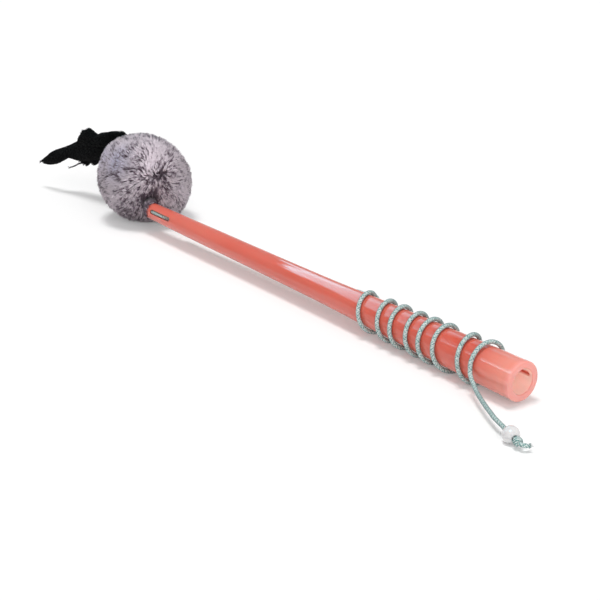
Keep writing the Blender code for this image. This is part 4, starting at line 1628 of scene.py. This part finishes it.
    def lay(self, ways: np.ndarray) -> tuple[np.ndarray, np.ndarray]:
        """The way that the fur lies, out from the whorl with soft swirls, and how strongly it does.

        Args:
            ways: Directions from the ball's centre.

        Returns:
            Unit vectors along the ball, and a number from 0 where the fur parts to 1.
        """
        rng = np.random.default_rng(self.seed + 1)
        flow = -heading(self.whorl)
        for swirl in self.swirls:
            flow = flow + self.ripple(ways, rng, swirl)
        flow -= (flow * ways).sum(1)[:, None] * ways
        firm = self.firmness
        for swirl in self.firm_swirls:
            firm = firm + self.ripple(ways, rng, swirl)[:, 0]
        size = np.linalg.norm(flow, axis=1)
        return units(flow, 1e-6), np.clip(size / self.firm_from, 0, 1) * np.clip(firm, *self.firm_range)

    def spots(self, ways: np.ndarray, spots: Sequence[Spot]) -> np.ndarray:
        """Add up soft patches over the ball.

        Args:
            ways: Directions from the ball's centre.
            spots: The patches.

        Returns:
            The sum in each direction.
        """
        right, up, near = np.array((self.spot_right, self.spot_up, self.spot_near))
        total = np.zeros(len(ways))
        for aside, above, amount, spread in spots:
            depth = math.sqrt(max(self.spot_radius ** 2 - aside ** 2 - above ** 2, 0.0))
            axis = heading(right * aside + up * above + near * depth)
            total += amount * np.exp(-((degrees_from(axis, ways) / spread) ** 2))
        return total

    def backing(self) -> bpy.types.Object:
        """Make the fabric skin under the fur.

        Returns:
            The skin.
        """
        shape = bmesh.new()
        bmesh.ops.create_icosphere(shape, subdivisions=self.skin_fineness, radius=1.0)
        ways = rows(vertex.co.normalized() for vertex in shape.verts)
        faces = [[vertex.index for vertex in face.verts] for face in shape.faces]
        shape.free()
        count = len(ways)
        numbers = {"rise": np.full(count, self.skin_rise), "clump": np.full(count, self.skin_shade),
                   "shading_and_patch": np.zeros(count), "cool": np.zeros(count)}
        piece = make_object("fur_backing", self.skin_points(ways, self.pile_height), faces, numbers)
        return dress(piece, self.fur.material("fur_skin"), Body.LURE, ["lure_skin", "lure_stuffing"])

    def clump_owners(self, ways: np.ndarray, centres: np.ndarray) -> np.ndarray:
        """Find each strand's clump.

        Args:
            ways: Directions of the strands.
            centres: Directions of the clumps.

        Returns:
            The index of the nearest clump for each strand.
        """
        tree = KDTree(len(centres))
        for index, centre in enumerate(centres):
            tree.insert(centre, index)
        tree.balance()
        return np.array([tree.find(way)[1] for way in ways])

    def coat(self) -> None:
        """Plant the fur, in small clumps that share their lean and shade."""
        rng = np.random.default_rng(self.seed)
        ways = self.spread(self.strands, rng, self.strand_jitter)
        centres = self.spread(self.clumps, rng, self.clump_jitter)
        owner = self.clump_owners(ways, centres)
        kept = degrees_from(-np.array(LURE_AXIS), ways) > self.mouth_clear
        ways, owner = ways[kept], owner[kept]
        count = len(ways)
        shade = np.clip(rng.normal(*self.clump_shade, len(centres)), 0, 1)[owner]
        stretch = rng.uniform(*self.clump_stretch, len(centres))[owner] * rng.uniform(*self.strand_stretch, count)
        roots, tips = self.strand_ends(ways, stretch)
        _, clump_tips = self.strand_ends(centres[owner], stretch)
        pull = self.clump_pull * rng.uniform(*self.strand_pull, (count, 1))
        tips = tips * (1 - pull) + clump_tips * pull
        tips += rng.normal(0, self.tip_jitter, tips.shape)
        length = np.linalg.norm(tips - roots, axis=1)[:, None]
        middles = roots * (1 - self.middle_share) + tips * self.middle_share + ways * self.middle_bow * length
        tips, middles = self.above_floor(tips), self.above_floor(middles)
        toward = ways @ heading(self.whorl)
        finish = self.fur.material()
        # Painted light and shade with the fur's own patches, and the cool tint of the tips.
        shading_and_patch, cool = self.spots(ways, self.shadings_and_patches), self.spots(ways, self.cools)
        bands = {"fur_front": toward > self.band_edge, "fur_middle": np.abs(toward) <= self.band_edge,
                 "fur_back": toward < -self.band_edge}
        for name, chosen in bands.items():
            piece = Spikes().build(name, roots[chosen], middles[chosen], tips[chosen], ways[chosen],
                                   {"clump": shade[chosen], "shading_and_patch": shading_and_patch[chosen], "cool": cool[chosen]})
            dress(piece, finish, Body.LURE)
        MouthFringe(self).build(rng, finish)

    def strand_ends(self, ways: np.ndarray, stretch: np.ndarray) -> tuple[np.ndarray, np.ndarray]:
        """Root and tip of a strand in each direction; strands stand up where the fur parts.

        Args:
            ways: Directions from the ball's centre.
            stretch: Share of the full length for each strand.

        Returns:
            The roots and the tips.
        """
        lay, firm = self.lay(ways)
        lean = (self.lean * (self.least_lean + (1 - self.least_lean) * firm))[:, None]
        roots = self.skin_points(ways, self.pile_height + self.root_depth)
        length = (self.pile_length * stretch * (self.least_length + (1 - self.least_length) * firm))[:, None]
        return roots, roots + (ways * np.cos(lean) + lay * np.sin(lean)) * length

    def above_floor(self, points: np.ndarray) -> np.ndarray:
        """Press points flat where they would go into the floor, and keep their order a little.

        Args:
            points: The points.

        Returns:
            The pressed points.
        """
        held = points.copy()
        held[:, 2] = np.maximum(held[:, 2], self.floor_gap + self.floor_layers * np.abs(points[:, 2]))
        return held

    def build(self) -> None:
        """Build the skin, the fur and the sewn rings."""
        skin = self.backing()
        self.coat()
        for name, node, toward, ring in (("mouth_thread", "lure_mouth_tie", -LURE_AXIS, self.mouth_ring),
                                         ("tail_thread", "tail_seat_ring", LURE_AXIS, self.tail_ring)):
            piece = ring.build(name, toward, float(self.radius(rows([toward]))[0]))
            dress(piece, self.thread.material(), Body.LURE, [node])
        milky = MilkyPlastic().material()
        for name in ("squeaker_bladder", "squeaker_reed"):
            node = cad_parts[name]
            node.data.materials.clear()
            node.data.materials.append(milky)


@dataclass
class MouthFringe:
    """Fur from the mouth's upper rim that lies over the wand's tip.

    Stations are distances from the butt, and gaps are distances off the plastic, both in millimetres.
    """

    lure: Lure
    strands: int = 420
    turns: Pair = (-30, 125)
    bends: Pair = (598, 603)
    bend_gap: Pair = (0.8, 1.9)
    tip_back: Pair = (3.5, 7.5)
    tip_turn: float = 0.14
    tip_gap: Pair = (0.4, 1.2)
    root_jitter: float = 2.2 * MM
    # Painted shade: the fringe is darkened where it lies over the wand's tip.
    shading_and_patch: float = -0.34
    wand_end: float = 597.0
    wand_radius: float = 9.6
    dome: float = 10.0

    def on_tip(self, station: np.ndarray, turn: np.ndarray, gap: np.ndarray) -> np.ndarray:
        """Find points just off the wand's rounded tip.

        Args:
            station: Stations.
            turn: Angles round the wand, from its near side upwards.
            gap: Gaps.

        Returns:
            The points.
        """
        part = np.clip(station - self.wand_end, 0, self.dome) / self.dome
        out = self.wand_radius * np.sqrt(1 - part ** 2) + gap
        places = np.column_stack([-station, -out * np.cos(turn), out * np.sin(turn)]) * MM
        return rows(WAND_FRAME @ Vector(place) for place in places)

    def build(self, rng: np.random.Generator, finish: bpy.types.Material) -> None:
        """Lay the fringe.

        Args:
            rng: The fur's random numbers.
            finish: The fur's material.
        """
        count = self.strands
        turn = np.radians(rng.uniform(*self.turns, count))
        bends = rng.uniform(*self.bends, count)
        over = self.on_tip(bends, turn, rng.uniform(*self.bend_gap, count))
        tips = self.on_tip(bends - rng.uniform(*self.tip_back, count), turn + rng.normal(0, self.tip_turn, count),
                           rng.uniform(*self.tip_gap, count))
        ways = units(over - np.array(LURE_CENTRE) + rng.normal(0, self.root_jitter, over.shape))
        roots = self.lure.skin_points(ways, self.lure.pile_height)
        numbers = {"clump": rng.uniform(*WHOLE, count), "shading_and_patch": np.full(count, self.shading_and_patch), "cool": np.zeros(count)}
        piece = Spikes().build("mouth_fringe", roots, self.lure.above_floor(over), self.lure.above_floor(tips), ways,
                               numbers)
        dress(piece, finish, Body.LURE)


@dataclass(frozen=True)
class Lobe:
    """One strip of the tail, as tables along it in millimetres: its upper and lower edge, thickness and place across.

    The wave says where its folds start.
    """

    upper: tuple[Pair, ...]
    lower: tuple[Pair, ...]
    thick: tuple[Pair, ...]
    across: tuple[Pair, ...]
    wave: float


LONG_LOBE = Lobe(
    ((0, 5), (12, 8), (25, 11), (42, 12.5), (60, 9.5), (78, 5), (97, -4), (111.5, -11.6), (126.2, -17.8),
     (139.3, -23.2), (152.5, -32), (161, -38), (166, -41.4)),
    ((0, -5), (12, -7.5), (25, -10), (42, -15), (60, -21), (78, -26), (95, -28.5), (112.6, -28), (121, -31.7),
     (131.4, -37.3), (146.7, -42.1), (158, -43.6), (166, -42.2)),
    ((0, 5), (20, 8), (45, 10), (80, 8.5), (110, 6), (140, 4), (160, 2), (166, 0.6)),
    ((0, 13.2), (14, 8), (30, 2.5), (50, 0), (100, -1.5), (166, 0)), 0.0)
UPPER_LOBE = Lobe(
    ((6, 7), (14, 9.5), (18, 12), (21, 16.4), (24, 17.4), (33, 17.6), (40, 16.0), (46, 15.0), (52, 13.0),
     (58.5, 10.8), (65, 12.6), (70, 15.2), (74.5, 15.6), (79, 13.4), (82, 13.2), (84.5, 8.6), (87, 6.6),
     (89.2, 0.6), (92, -3.6)),
    ((6, 0), (30, -1), (55, -4), (75, -6), (86, -6), (92, -5.0)),
    ((6, 4), (25, 6.5), (50, 6.5), (75, 5), (86, 2.4), (92, 0.5)),
    ((6, 11), (20, 4), (40, -4), (70, -6.5), (92, -8.5)), 1.7)
LOWER_LOBE = Lobe(
    ((8, 0), (30, -3), (60, -12), (80, -20), (92, -26), (101, -31.4)),
    ((8, -7), (24, -10.5), (40, -14.5), (50, -19.5), (58.6, -24.0), (66, -27.2), (71.5, -30.6), (75, -33.0),
     (78, -32.0), (83, -31.6), (87, -34.6), (89.5, -36.0), (93, -34.4), (101, -32.8)),
    ((8, 4), (30, 6.5), (60, 6), (85, 3.6), (101, 0.7)),
    ((8, 10), (20, 4), (45, 4), (75, 4.5), (101, 7)), 3.1)
BACK_LOBE = Lobe(
    ((8, 4), (30, 7), (55, 1), (80, -10), (100, -20), (114, -27)),
    ((8, -5), (30, -9), (55, -17), (80, -26), (100, -30), (114, -29.5)),
    ((8, 4), (30, 7), (60, 6.5), (90, 4), (114, 0.8)),
    ((8, 11), (25, 9), (50, 9), (80, 8), (114, 10)), 4.4)
SPIKE_LOBE = Lobe(
    ((88, -29.5), (94, -31.4), (100.4, -34.2), (105, -36.4), (110, -38.9), (115, -41.2), (119.6, -43.2)),
    ((88, -32.5), (94, -33.4), (100.4, -35.4), (105, -37.4), (110, -39.7), (115, -41.8), (119.6, -43.5)),
    ((88, 1.6), (100, 0.7), (110, 0.4), (119.6, 0.2)),
    ((88, 2), (120.6, 5)), 5.0)


@dataclass
class Tail:
    """Tail of black pile: soft strips from one root, covered in short combed pile.

    A ridge is an amount, how many there are round a strip, and the length that it drifts over; a sway and a fold are
    an amount and such lengths. All are in the strips' own millimetres.
    """

    lobes: tuple[Lobe, ...] = (LONG_LOBE, UPPER_LOBE, LOWER_LOBE, BACK_LOBE, SPIKE_LOBE)
    along: Triple = (-0.957, -0.29, 0.0)
    origin: Triple = (-16.9, -18.2, 0.0)
    slice_step: float = 1.6
    least_slices: int = 8
    around: int = 30
    least_half: float = 0.2
    ridge: Triple = (0.10, 5, 17)
    fine_ridge: Triple = (0.05, 9, -11)
    sway: Triple = (1.4, 13, 30)
    fold: Pair = (1.6, 21)
    pile: int = 15000
    pile_width: float = 0.4 * MM
    pile_length: float = 5.2 * MM
    pile_stretch: Pair = (0.6, 1.2)
    pile_flatness: float = 0.85
    root_depth_mm: float = 0.5
    middle_rise: float = 0.20
    tip_rise: float = 0.16
    tip_jitter: float = 0.3 * MM
    seed: int = 23
    finish: BlackPile = field(default_factory=BlackPile)

    def slice_points(self, lobe: Lobe, place: float, turn: np.ndarray) -> np.ndarray:
        """Find points round one slice across a strip.

        Args:
            lobe: The strip.
            place: The slice's place along the strip, in millimetres.
            turn: Angles round the slice.

        Returns:
            The points, from the tail's hinge.
        """
        top, bottom = along_table(lobe.upper, place), along_table(lobe.lower, place)
        half, middle = max((top - bottom) / 2, self.least_half), (top + bottom) / 2
        thick = along_table(lobe.thick, place)
        relief, count, drift = self.ridge
        fine_relief, fine_count, fine_drift = self.fine_ridge
        ridge = (1 + relief * np.sin(count * turn + lobe.wave + place / drift)
                 + fine_relief * np.sin(fine_count * turn + place / fine_drift))
        amount, bend, start = self.sway
        sway = along_table(lobe.across, place) + amount * np.sin(place / bend + lobe.wave) * min(1, place / start)
        fold = self.fold[0] * np.sin(turn) * math.sin(place / self.fold[1] + lobe.wave)
        along = heading(self.along)
        across = np.array((-along[1], along[0], 0.0))
        out = thick * ridge * np.cos(turn) + fold - sway + float(np.dot(self.origin, across))
        height = middle + half * np.sin(turn)
        return (along * place + np.outer(out, across) + np.outer(height, (0.0, 0.0, 1.0))) * MM

    def strip(self, lobe: Lobe) -> tuple[np.ndarray, list[list[int]], np.ndarray]:
        """Loft one strip.

        Args:
            lobe: The strip's edges, thickness and place.

        Returns:
            Its points, its faces and the direction along it at each point.
        """
        first, last = lobe.upper[0][0], lobe.upper[-1][0]
        count = max(self.least_slices, round((last - first) / self.slice_step))
        places = np.linspace(first, last, count + 1)
        turn = 2 * math.pi * np.arange(self.around) / self.around
        rings = np.stack([self.slice_points(lobe, place, turn) for place in places])
        rings += np.array(TAIL_HINGE)
        ways = units(np.gradient(rings, axis=0))
        index = np.arange(rings.shape[0] * self.around).reshape(-1, self.around)
        after = np.roll(index, -1, axis=1)
        faces = np.stack([index[:-1], index[1:], after[1:], after[:-1]], axis=-1).reshape(-1, 4).tolist()
        faces += [index[0].tolist(), index[-1][::-1].tolist()]
        return rings.reshape(-1, 3), faces, ways.reshape(-1, 3)

    def build(self) -> None:
        """Build the strips and comb the pile onto them."""
        vertices, faces, ways = [], [], []
        total = 0
        for lobe in self.lobes:
            points, strip_faces, along = self.strip(lobe)
            vertices.append(points)
            faces += [[corner + total for corner in face] for face in strip_faces]
            ways.append(along)
            total += len(points)
        core = make_object("tail_strips", np.vstack(vertices), faces)
        tidy_normals(core)
        dress(core, self.finish.material(), Body.TAIL, ["tail_plush"])
        self.comb(core, np.vstack(ways))

    def comb(self, core: bpy.types.Object, ways: np.ndarray) -> None:
        """Lay short pile along the strips.

        Args:
            core: The built strips.
            ways: The direction along the strip at each of their points.
        """
        rng = np.random.default_rng(self.seed)
        core.data.calc_loop_triangles()
        corners = rows(triangle.vertices for triangle in core.data.loop_triangles).astype(int)
        points = rows(vertex.co for vertex in core.data.vertices)
        normals = rows(vertex.normal for vertex in core.data.vertices)
        one, two, three = (points[corners[:, index]] for index in range(3))
        area = np.linalg.norm(np.cross(two - one, three - one), axis=1)
        picked = corners[rng.choice(len(corners), self.pile, p=area / area.sum())]
        first, second = np.sqrt(rng.uniform(0, 1, self.pile)), rng.uniform(0, 1, self.pile)
        share = np.stack([1 - first, first * (1 - second), first * second], axis=1)[..., None]
        roots = (points[picked] * share).sum(1)
        facing = units((normals[picked] * share).sum(1))
        flow = (ways[picked] * share).sum(1)
        flow -= (flow * facing).sum(1)[:, None] * facing * self.pile_flatness
        flow = units(flow, 1e-6)
        length = self.pile_length * rng.uniform(*self.pile_stretch, (self.pile, 1))
        roots -= facing * self.root_depth_mm * MM
        middles = roots + flow * length * 0.5 + facing * length * self.middle_rise
        tips = roots + flow * length + facing * length * self.tip_rise
        tips += rng.normal(0, self.tip_jitter, roots.shape)
        piece = Spikes(self.pile_width).build("tail_pile", roots, middles, tips, facing,
                                              {"clump": rng.uniform(0, 1, self.pile)})
        dress(piece, self.finish.material(), Body.TAIL)


@dataclass(frozen=True)
class Panel:
    """Level panel above the set that only shows as a sheen in glossy things, fading along X and Y."""

    name: str
    outline: tuple[Pair, ...]
    glow: float
    fade_x: Pair
    fade_y: Pair
    height: float = 1.2
    tint: Colour = (0.34, 0.86, 1.0, 1.0)

    def build(self) -> None:
        """Hang the panel."""
        corners = [(x, y, self.height) for x, y in self.outline]
        made = make_object(self.name, np.array(corners), [list(range(len(corners)))])
        make = Shader(self.name + "_light")
        place = make.axes()
        along = make.span(place["X"], self.fade_x, FADE_OUT)
        across = make.span(make.math("ABSOLUTE", place["Y"]), self.fade_y, FADE_OUT)
        light = make.node("ShaderNodeEmission")
        light.inputs["Color"].default_value = self.tint
        make.put(light.inputs["Strength"], make.math("MULTIPLY", make.math("MULTIPLY", along, across), self.glow))
        make.put(make.tree.nodes["Material Output"].inputs["Surface"], light.outputs[0])
        made.data.materials.append(make.material)
        made.visible_camera = made.visible_diffuse = made.visible_shadow = made.visible_transmission = False


@dataclass(frozen=True)
class Lamp:
    """Far lamp that lights everything alike and shows in nothing glossy: its level, spread and direction."""

    name: str
    level: float
    spread: float
    way: Triple
    place: Triple = (0.0, 0.0, 2.0)

    def build(self) -> None:
        """Hang the lamp."""
        lamp = bpy.data.lights.new(self.name, "SUN")
        lamp.energy = self.level * math.pi
        lamp.angle = self.spread
        aim_object(self.name, lamp, self.place, self.way).visible_glossy = False


@dataclass
class Studio:
    """Camera, floor, lamps and sky."""

    camera_at: Triple = (1.1787, -0.8350, 0.5087)
    camera_way: Triple = (-0.7442, 0.5663, -0.3542)
    lens: float = 84.0
    sensor: float = 36.0
    clip: Pair = (0.05, 50.0)
    floor_size: float = 16.0
    floor_tone: Colour = (0.86, 0.86, 0.86, 1.0)
    floor_veil: float = 0.2
    sky: float = 0.42
    lights: tuple[Lamp, ...] = (
        Lamp("overhead_key", 0.49, math.radians(18), (0.10, 0.05, -1.0)),
        Lamp("front_fill", 0.35, math.radians(45), (-0.85, 0.35, -0.45)))
    panels: tuple[Panel, ...] = (
        Panel("sheen_edge", ((-1.48, -0.72), (-1.37, -0.45), (-1.30, -0.33), (-1.28, -0.2), (-1.275, 0.15),
                             (-1.38, 0.6), (-1.75, 1.0), (-2.4, 1.8), (-1.9, 1.8), (-1.3, 0.6), (-1.22, 0.15),
                             (-1.22, -0.33), (-1.4, -0.72)), 7.8, (-1.2, 0.0), (0.1, 2.2)),
        Panel("upper_sheen", ((-1.4, -0.72), (-1.22, -0.33), (-1.22, 0.15), (-1.3, 0.6), (-1.9, 1.8), (-0.7, 1.8),
                              (-0.7, -1.15), (-1.65, -1.15)), 5.0, (-1.2, -0.74), (0.2, 1.9)),
        Panel("butt_sheen", ((-1.05, -1.3), (-0.55, -1.3), (-0.55, -0.65), (-1.05, -0.65)), 9.0, (0.0, 1.0),
              (1.3, 0.6)),
        Panel("rim_sheen", ((0.45, -0.75), (0.8, -0.75), (0.8, -0.25), (0.45, -0.25)), 14.0, (2.0, 3.0), (2.0, 3.0)))

    def camera(self) -> None:
        """Place the camera at the photograph's angle."""
        data = bpy.data.cameras.new("camera")
        data.lens = self.lens
        data.sensor_width = self.sensor
        data.clip_start, data.clip_end = self.clip
        bpy.context.scene.camera = aim_object("camera", data, self.camera_at, self.camera_way)

    def floor(self) -> None:
        """Lay a plain pale floor that keeps the shadow."""
        half = self.floor_size / 2
        corners = [(-half, -half, 0), (half, -half, 0), (half, half, 0), (-half, half, 0)]
        made = make_object("floor", np.array(corners), [[0, 1, 2, 3]])
        make = Shader("pale_floor")
        rays = make.node("ShaderNodeLightPath")
        seen = make.math("MAXIMUM", rays.outputs["Is Camera Ray"], rays.outputs["Is Glossy Ray"])
        make.set(Base_Color=make.mix(seen, self.floor_tone, WHITE), Roughness=1.0)
        make.set(Specular_IOR_Level=0.0)
        glow = make.node("ShaderNodeEmission")
        glow.inputs["Color"].default_value = WHITE
        blend = make.node("ShaderNodeMixShader")
        make.put(blend.inputs[0], make.math("MULTIPLY", seen, self.floor_veil))
        make.put(blend.inputs[1], make.surface.outputs[0])
        make.put(blend.inputs[2], glow.outputs[0])
        make.put(make.tree.nodes["Material Output"].inputs["Surface"], blend.outputs[0])
        made.data.materials.append(make.material)

    def world(self) -> None:
        """Light everything softly, and show white behind the floor."""
        made = bpy.data.worlds.new("sky")
        made.use_nodes = True
        bpy.context.scene.world = made
        tree = made.node_tree
        back = tree.nodes["Background"]
        rays = tree.nodes.new("ShaderNodeLightPath")
        level = tree.nodes.new("ShaderNodeMapRange")
        tree.links.new(rays.outputs["Is Camera Ray"], level.inputs[0])
        level.inputs[3].default_value = self.sky
        level.inputs[4].default_value = 1.0
        tree.links.new(level.outputs[0], back.inputs["Strength"])
        back.inputs["Color"].default_value = WHITE

    def build(self) -> None:
        """Set up the whole studio."""
        self.camera()
        self.floor()
        self.world()
        for light in (*self.lights, *self.panels):
            light.build()
        bpy.context.scene.view_settings.view_transform = "Standard"


def main() -> None:
    """Build every piece in order."""
    logging.basicConfig(level=logging.INFO, format="%(message)s")
    Studio().build()
    wand = Wand()
    line = Line(wand)
    braid = line.build()
    wand.build()
    FreeEnd(line).build()
    Tether(line).build()
    Lure().build()
    Tail().build()


if __name__ == "__main__":
    main()
